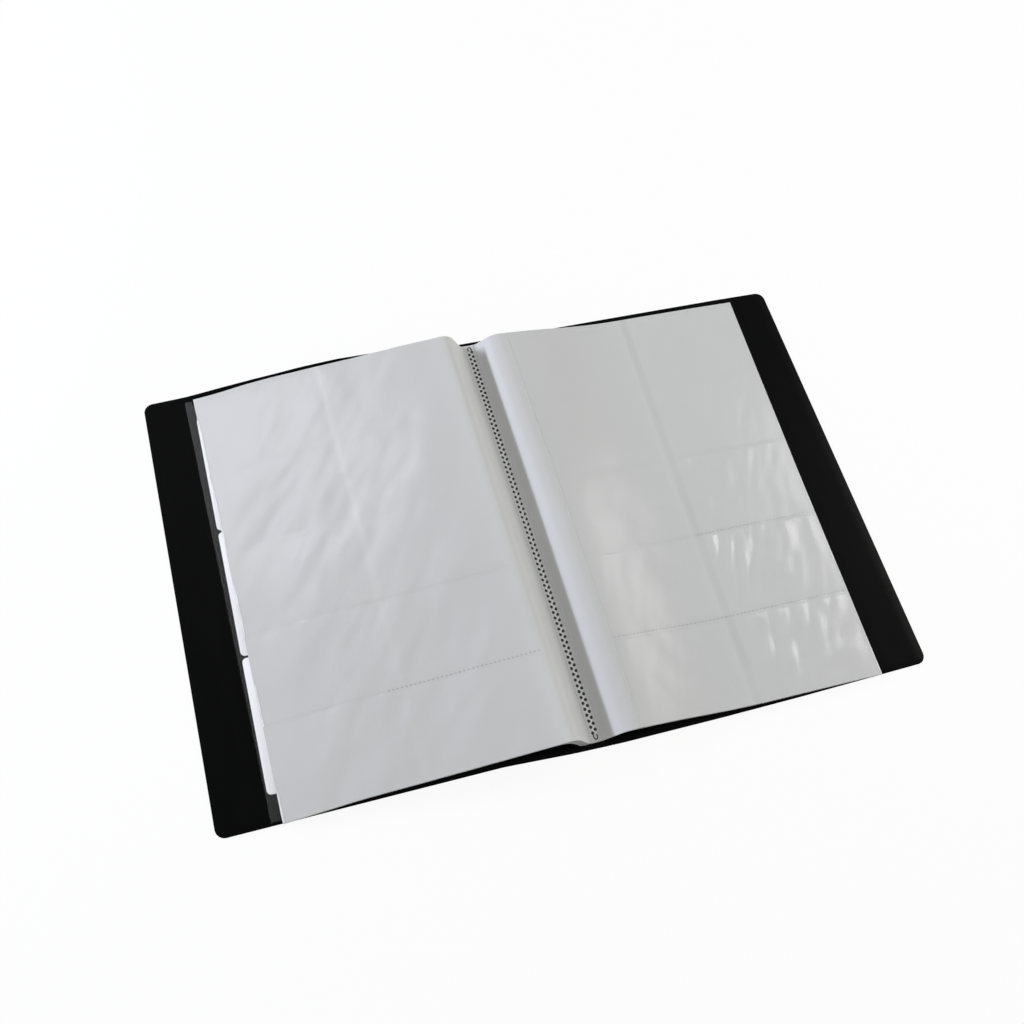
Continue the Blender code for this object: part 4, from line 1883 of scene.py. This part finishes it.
@dataclass
class GutterWeld:
    """The fused strip in the gutter, with two staggered columns of dark weld points."""

    strip_finish: bpy.types.Material
    point_finish: bpy.types.Material
    seam_finish: bpy.types.Material
    ridge_finish: bpy.types.Material
    dots: DotTree
    strip_points: tuple[int, int] = (33, 120)
    half_width: float = 0.004
    base: float = 0.0011
    top: float = 0.0043
    leaf_top: float = PAGE_TOP
    leaf_bottom: float = PAGE_BOTTOM
    press: float = 0.00022
    press_end: Ramp = Ramp(0.45, 0.3)
    edge_drop: float = 0.0002
    edge_start: Ramp = Ramp(0.93, 0.07)
    dot_sink: float = 0.00020
    pitch: float = 0.004
    pitch_share: float = 0.99999
    radius: float = 0.00118
    height: float = 0.00010
    column_offset: float = 0.0013
    end_margin: float = 0.0045
    cap_style: DotStyle = DotStyle(0.0005, 0.00045, 0.00008, 1.2)
    cap_rise: float = 0.0019
    cap_place: float = 0.85
    cap_overlap: float = 0.15
    cap_points: int = 24
    ridge_style: DotStyle = DotStyle(0.0005, 0.00034, 0.00008, 1.3)
    ridge_reach: float = 0.0010
    seam_style: DotStyle = DotStyle(0.0021, 0.00034, 0.00008, 1.25)
    seam_offset: float = -0.0034
    seam_lift: float = 0.00016

    def strip(self) -> bpy.types.Object:
        """The strip: softly rounded edges and a shallow pressed channel.

        Returns:
            The piece.
        """
        across = np.linspace(-self.half_width, self.half_width, self.strip_points[0])
        y = np.linspace(self.leaf_bottom, self.leaf_top, self.strip_points[1])
        part = np.abs(across) / self.half_width
        press = self.press * self.press_end.falling(part)
        edge = self.edge_drop * self.edge_start(part)
        shape = np.zeros((len(across), len(y), 3))
        shape[..., 0] = across[:, None] + gutter_skew(y)[None, :]
        shape[..., 1] = (y + gutter_rise(y))[None, :]
        upper, lower = shape.copy(), shape.copy()
        upper[..., 2] = (self.top - press - edge)[:, None]
        lower[..., 2] = self.base
        return link_piece("weld_strip", shell_mesh("weld_strip", upper, lower), self.strip_finish)

    def on_strip(self, places: list[tuple[float, float]], lift: float = 0.0) -> Line:
        """A line on the pressed strip.

        Args:
            places: how far each place is from the strip's middle, and its height up the page.
            lift: how far the line stands above the pressed channel.

        Returns:
            The line's points, normals and relative dot sizes.
        """
        height = self.top - self.dot_sink + lift
        points = np.array([(x + gutter_skew(y), y + gutter_rise(y), height) for x, y in places])
        return points, np.array([(0.0, 0.0, 1.0)] * len(places)), np.ones(len(places))

    def rows(self) -> tuple[float, float]:
        """Where the columns of weld points end, before the stagger.

        Returns:
            The heights up the page of the lowest and the highest point.
        """
        count = int((self.leaf_top - self.leaf_bottom - 2 * self.end_margin) / self.pitch)
        middle = (self.leaf_top + self.leaf_bottom) / 2
        half = (count - 1) * self.pitch / 2
        return middle - half, middle + half

    def points(self) -> bpy.types.Object:
        """The two staggered columns of weld points.

        Returns:
            The piece.
        """
        low, high = self.rows()
        lines = []
        for column in (-1, 1):
            x, stagger = column * self.column_offset, column * self.pitch / 4
            lines.append(self.on_strip([(x, low + stagger), (x, high + stagger)]))
        style = DotStyle(self.pitch * self.pitch_share, self.radius, self.height)
        return self.dots.dots("weld_points", lines, style, self.point_finish)

    def caps(self) -> bpy.types.Object:
        """The small loops that close the columns at the head and the foot.

        Returns:
            The piece.
        """
        low, high = self.rows()
        over = self.cap_overlap * math.pi
        turn = np.linspace(-over, math.pi + over, self.cap_points)
        lines = []
        for end, out in ((low, -1), (high, 1)):
            middle = end + out * self.pitch * self.cap_place
            lines.append(self.on_strip([
                (self.column_offset * math.cos(angle), middle + out * self.cap_rise * math.sin(angle))
                for angle in turn
            ]))
        return self.dots.dots("weld_caps", lines, self.cap_style, self.point_finish)

    def ridge(self) -> bpy.types.Object:
        """The pale ridge that the tips leave standing, in a zigzag between the two columns of points.

        Returns:
            The piece.
        """
        low, high = self.rows()
        places = []
        for row in range(round((high - low) / self.pitch) + 1):
            y = low + row * self.pitch
            places += [(self.ridge_reach, y - self.pitch / 4), (-self.ridge_reach, y + self.pitch / 4)]
        return self.dots.dots("weld_ridge", [self.on_strip(places)], self.ridge_style, self.ridge_finish)

    def side_seam(self) -> bpy.types.Object:
        """The faint dotted seam beside the weld points.

        Returns:
            The piece.
        """
        low, high = self.rows()
        line = self.on_strip([(self.seam_offset, low), (self.seam_offset, high)], self.seam_lift)
        return self.dots.dots("weld_side_seam", [line], self.seam_style, self.seam_finish)

    def build(self) -> None:
        """Build the weld and hang it on the spine."""
        strip = self.strip()
        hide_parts("gutter_weld_strip")
        for piece, slot in (
            (strip, "leaf_sheet"),
            (self.points(), "cover"),
            (self.caps(), "cover"),
            (self.ridge(), "leaf_sheet"),
            (self.side_seam(), "leaf_sheet"),
        ):
            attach(piece, "spine")


# ---------------------------------------------------------------- cover pocket


@dataclass
class CoverPocket:
    """The clear pocket inside the front cover, and its three cards."""

    film_finish: bpy.types.Material
    card_finish: bpy.types.Material
    cover: Cover
    film_edge: float = -0.21446
    film_inner: float = -0.15256
    film_step: float = 0.0016
    half_length: float = 0.15025
    foot_length: float = 0.0030
    film_shift: float = 0.00125
    film_skew: float = 0.00245
    skew_length: float = 0.020
    most_bow: float = 0.0014
    floor: float = 0.0009
    ceiling: float = 0.0013
    film_thickness: float = 0.00012
    past_end: Ramp = Ramp(0.0002, 0.0006)
    past_side: Ramp = Ramp(0.0003, 0.0012)
    ripple: Creases = Creases((0.02, 0.045), octaves=2)
    ripple_seed: float = 8.2
    ripple_height: float = 0.00006
    card_edge: float = -0.21096
    card_shift: float = 0.0012
    card_lift: float = 0.00002
    card_width: float = 0.054
    card_length: float = 0.090
    card_pitch: float = 0.0915
    card_thickness: float = 0.0003
    card_radius: float = 0.003
    card_ease: float = 0.00006
    count: int = 3

    def film(self) -> bpy.types.Object:
        """The film: welded down round every card, open at the fore edge and a little askew.

        Returns:
            The piece.
        """
        card_end = self.card_edge + self.card_width
        x = LeafStack.marks([self.film_edge, self.film_inner, card_end], self.film_step)
        y = LeafStack.marks([-self.half_length - self.foot_length, self.half_length], self.film_step)
        first, second = np.meshgrid(x, y, indexing="ij")
        middles = [(number - (self.count - 1) / 2) * self.card_pitch for number in range(self.count)]
        near = np.min([np.abs(second - middle) for middle in middles], axis=0)
        over_y = self.past_end.falling(near - self.card_length / 2)
        over_x = self.past_side.falling(first - self.card_edge - self.card_shift - self.card_width)
        raised = over_y * over_x
        ripple = self.ripple.heights(first, second, self.ripple_seed) * self.ripple_height * raised
        bow = np.array([self.cover.bow(a, b) for a, b in zip(first.ravel(), second.ravel())])
        bow = bow.reshape(first.shape)
        kept = bow[:-1, 1:] < self.most_bow
        inner = self.floor + (self.ceiling - self.floor) * raised + np.abs(ripple) + bow
        outward = np.clip((self.card_edge + self.skew_length - first) / self.skew_length, 0.0, 1.0)
        askew = (self.film_shift - self.film_skew * second / self.half_length) * outward
        points = np.stack([first + askew, second, inner], -1)
        upper = points.copy()
        upper[..., 2] += self.film_thickness
        mesh = shell_mesh("cover_pocket_sheet", upper, points, kept)
        piece = link_piece("cover_pocket_sheet", mesh, self.film_finish)
        return piece

    def card(self, number: int) -> bpy.types.Object:
        """A blank card with rounded corners.

        Args:
            number: the card, from the head.

        Returns:
            The piece.
        """
        name = f"blank_card_{number}"
        edge = self.card_edge + self.card_shift
        middle = ((self.count - 1) / 2 - (number - 1)) * self.card_pitch
        outline = rounded_outline(
            (edge, middle - self.card_length / 2),
            (edge + self.card_width, middle + self.card_length / 2),
            (self.card_radius,) * 4,
        )
        mesh = plate_mesh(name, outline, self.floor + self.card_lift, self.card_thickness, self.card_ease)
        piece = link_piece(name, mesh, self.card_finish)
        return piece

    def build(self) -> None:
        """Build the pocket and its cards, each on its own body."""
        film = self.film()
        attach(film, "front_cover")
        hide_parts("cover_pocket_film")
        for number in range(1, self.count + 1):
            card = self.card(number)
            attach(card, f"card_{number}")
            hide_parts(f"card_{number}")


# ---------------------------------------------------------------- studio


@dataclass(frozen=True)
class Softbox:
    """A soft area lamp aimed at a place, with its share of the light on a level page."""

    name: str
    position: Point
    target: Point
    size: tuple[float, float]
    share: float
    colour: Colour = (1.0, 1.0, 1.0)

    def build(self) -> None:
        """Hang the lamp; its power gives its share at the target."""
        away = Vector(self.position) - Vector(self.target)
        lamp = bpy.data.lights.new(self.name, "AREA")
        lamp.shape = "RECTANGLE"
        lamp.size, lamp.size_y = self.size
        lamp.color = self.colour
        slant = away.normalized().z
        lamp.energy = self.share * math.pi**2 * away.length_squared / slant
        holder = bpy.data.objects.new(self.name, lamp)
        holder.location = self.position
        holder.rotation_euler = away.to_track_quat("Z", "Y").to_euler()
        bpy.context.scene.collection.objects.link(holder)


@dataclass
class Studio:
    """The table, the light and the camera."""

    ambient: float = 0.385
    ambient_colour: Colour = (1.0, 1.005, 0.965)
    azimuth: float = math.radians(-24.26)
    elevation: float = math.radians(65.58)
    roll: float = math.radians(10.59)
    camera_place: Point = (-0.1790, -0.2468, 0.6794)
    focal_pixels: float = 1048.1
    principal: tuple[float, float] = (442.1, 501.6)
    frame_pixels: float = 1024.0
    sensor_width: float = 36.0
    clip: tuple[float, float] = (0.01, 50.0)
    table_half: float = 3.0
    table_height: float = -0.0004
    lamps: tuple[Softbox, ...] = (
        Softbox("key_left", (-1.25, 0.62, 0.56), (0.0, 0.0, 0.0), (0.45, 0.08), 0.240, (0.93, 0.97, 1.11)),
        Softbox("fill_right", (1.35, 0.10, 0.80), (0.0, 0.0, 0.0), (0.80, 0.60), 0.175, (1.0, 0.995, 0.93)),
        Softbox("gloss_right", (1.10, 0.30, 1.10), (0.15, -0.06, 0.0), (0.55, 0.18), 0.042),
        Softbox(
            "gloss_left", (-0.45, 0.87, 1.49), (-0.17, 0.10, 0.0), (0.50, 0.44), 0.048, (0.98, 0.985, 1.03)
        ),
    )

    def camera(self) -> None:
        """Put the camera where the photograph was taken from."""
        sin_a, cos_a = math.sin(self.azimuth), math.cos(self.azimuth)
        sin_e, cos_e = math.sin(self.elevation), math.cos(self.elevation)
        back = Vector((sin_a * cos_e, -cos_a * cos_e, sin_e))
        right = Vector((cos_a, sin_a, 0.0))
        up = back.cross(right)
        turned_right = right * math.cos(self.roll) + up * math.sin(self.roll)
        turned_up = up * math.cos(self.roll) - right * math.sin(self.roll)
        data = bpy.data.cameras.new("photo_camera")
        data.sensor_width = self.sensor_width
        data.sensor_fit = "HORIZONTAL"
        data.lens = self.focal_pixels / self.frame_pixels * self.sensor_width
        data.shift_x = (self.frame_pixels / 2 - self.principal[0]) / self.frame_pixels
        data.shift_y = (self.principal[1] - self.frame_pixels / 2) / self.frame_pixels
        data.clip_start, data.clip_end = self.clip
        camera = bpy.data.objects.new("photo_camera", data)
        turn = Matrix((turned_right, turned_up, back)).transposed().to_4x4()
        camera.matrix_world = Matrix.Translation(Vector(self.camera_place)) @ turn
        bpy.context.scene.collection.objects.link(camera)
        bpy.context.scene.camera = camera

    def world(self) -> None:
        """Even pale light from all round, plain white where the camera or a mirror sees it."""
        world = bpy.data.worlds.new("studio_world")
        world.use_nodes = True
        bench = NodeBench(world.node_tree)
        sockets = {"Color": (*self.ambient_colour, 1.0), "Strength": self.ambient}
        soft = bench.add("ShaderNodeBackground", None, sockets)
        white = bench.add("ShaderNodeBackground", None, {"Color": (1.0, 1.0, 1.0, 1.0), "Strength": 1.0})
        mixed = bench.mix_shaders(bench.seen(), soft, white)
        bench.add("ShaderNodeOutputWorld", None, {"Surface": mixed.outputs[0]})
        bpy.context.scene.world = world

    def table(self) -> None:
        """The white table top."""
        half = self.table_half
        ring = [(-half, -half), (half, -half), (half, half), (-half, half)]
        mesh = bpy.data.meshes.new("table_top")
        mesh.from_pydata([(x, y, self.table_height) for x, y in ring], [], [(0, 1, 2, 3)])
        link_piece("table_top", mesh, TablePaper().material())

    def build(self) -> None:
        """Set the stage."""
        bpy.context.scene.view_settings.view_transform = "Standard"
        self.camera()
        self.world()
        self.table()
        for lamp in self.lamps:
            lamp.build()


def main() -> None:
    """Build the album around the frame."""
    logging.basicConfig(level=logging.INFO, format="%(name)s: %(message)s")
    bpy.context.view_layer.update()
    Studio().build()
    black = CoverPlastic().material()
    sheet = SheetPlastic().material()
    film = ClearFilm().material()
    cover_film = ClearFilm(name="cover_film", mirror=0.006, haze=0.014).material()
    seam = DotFinish("seam_weld", (0.40, 0.40, 0.41), (0.48, 0.48, 0.49), 0.35).material()
    bead = DotFinish("seam_bead", (0.74, 0.74, 0.75), (0.70, 0.70, 0.71), 0.35).material()
    # The lip's bright colour paints a highlight on the leaf's welded fore edge.
    lip = DotFinish("edge_lip", (0.90, 0.90, 0.91), (0.84, 0.84, 0.85), 0.3).material()
    point = DotFinish("weld_point", (0.012, 0.012, 0.013), (0.03, 0.03, 0.032), 0.4).material()
    dots = DotTree("pressed_dots")
    finishes = {"sheet": sheet, "film": film, "seam": seam, "bead": bead, "lip": lip}
    cover = Cover(black)
    cover.build()
    GutterWeld(sheet, point, seam, lip, dots).build()
    CoverPocket(cover_film, CardStock().material(), cover).build()
    left = LeafProfile(
        lean=math.radians(60.0),
        rise=0.0158194,
        crest_arc=0.0046378,
        crest_turn=math.radians(33.216),
        band_rest=0.0005634,
        ease_turn=math.radians(1.0316),
        soften=0.0024,
    )
    right = LeafProfile(
        lean=math.radians(48.0),
        rise=0.0116222,
        crest_arc=0.0058923,
        crest_turn=math.radians(28.134),
        band_rest=0.0028799,
        ease_turn=math.radians(6.2678),
    )
    LeafStack(Side.LEFT, left, finishes, dots).build()
    LeafStack(
        Side.RIGHT,
        right,
        finishes,
        dots,
        wave=LeafWave(height=0.0003, crumple=0.0001),
        tone=SeamToneAndHighlight(
            row_tones=(0.03, 0.05, 0.10, 0.12),
            band_tone=0.25,
            # A faint painted highlight along the column band's lighter edge; no painted highlight on the
            # crest.
            line_tone=0.12,
            line=Hump(-0.0050, 0.0014),
            line_least=1.0,
            crest_tone=0.0,
            foot_tone=0.0,
        ),
        slack=FilmSlack(lean=-0.34, puff=0.0002, wrinkle=0.0001, comb=0.0013),
        head_shift=0.0,
        head_pull=0.0020,
        foot_pull=0.0017,
        lift_height=-0.0012,
        lift_start=Ramp(0.030, 0.045),
        lift_sag=0.0,
        lift_end=Ramp(0.100, 0.080),
        crest_gap=0.0,
        shown_films=1,
        dotted=((4, 0.0, 1.0, 1.0), (3, 0.5, 1.0, 1.0), (3, 0.0, 0.5, 0.5), (2, 0.5, 1.0, 0.45)),
        lip_style=DotStyle(0.0007, 0.00038, 0.00011, 1.5),
        lip_starts=(0.9, 0.6, 0.3, 0.3, 0.2),
    ).build()


if __name__ == "__main__":
    main()
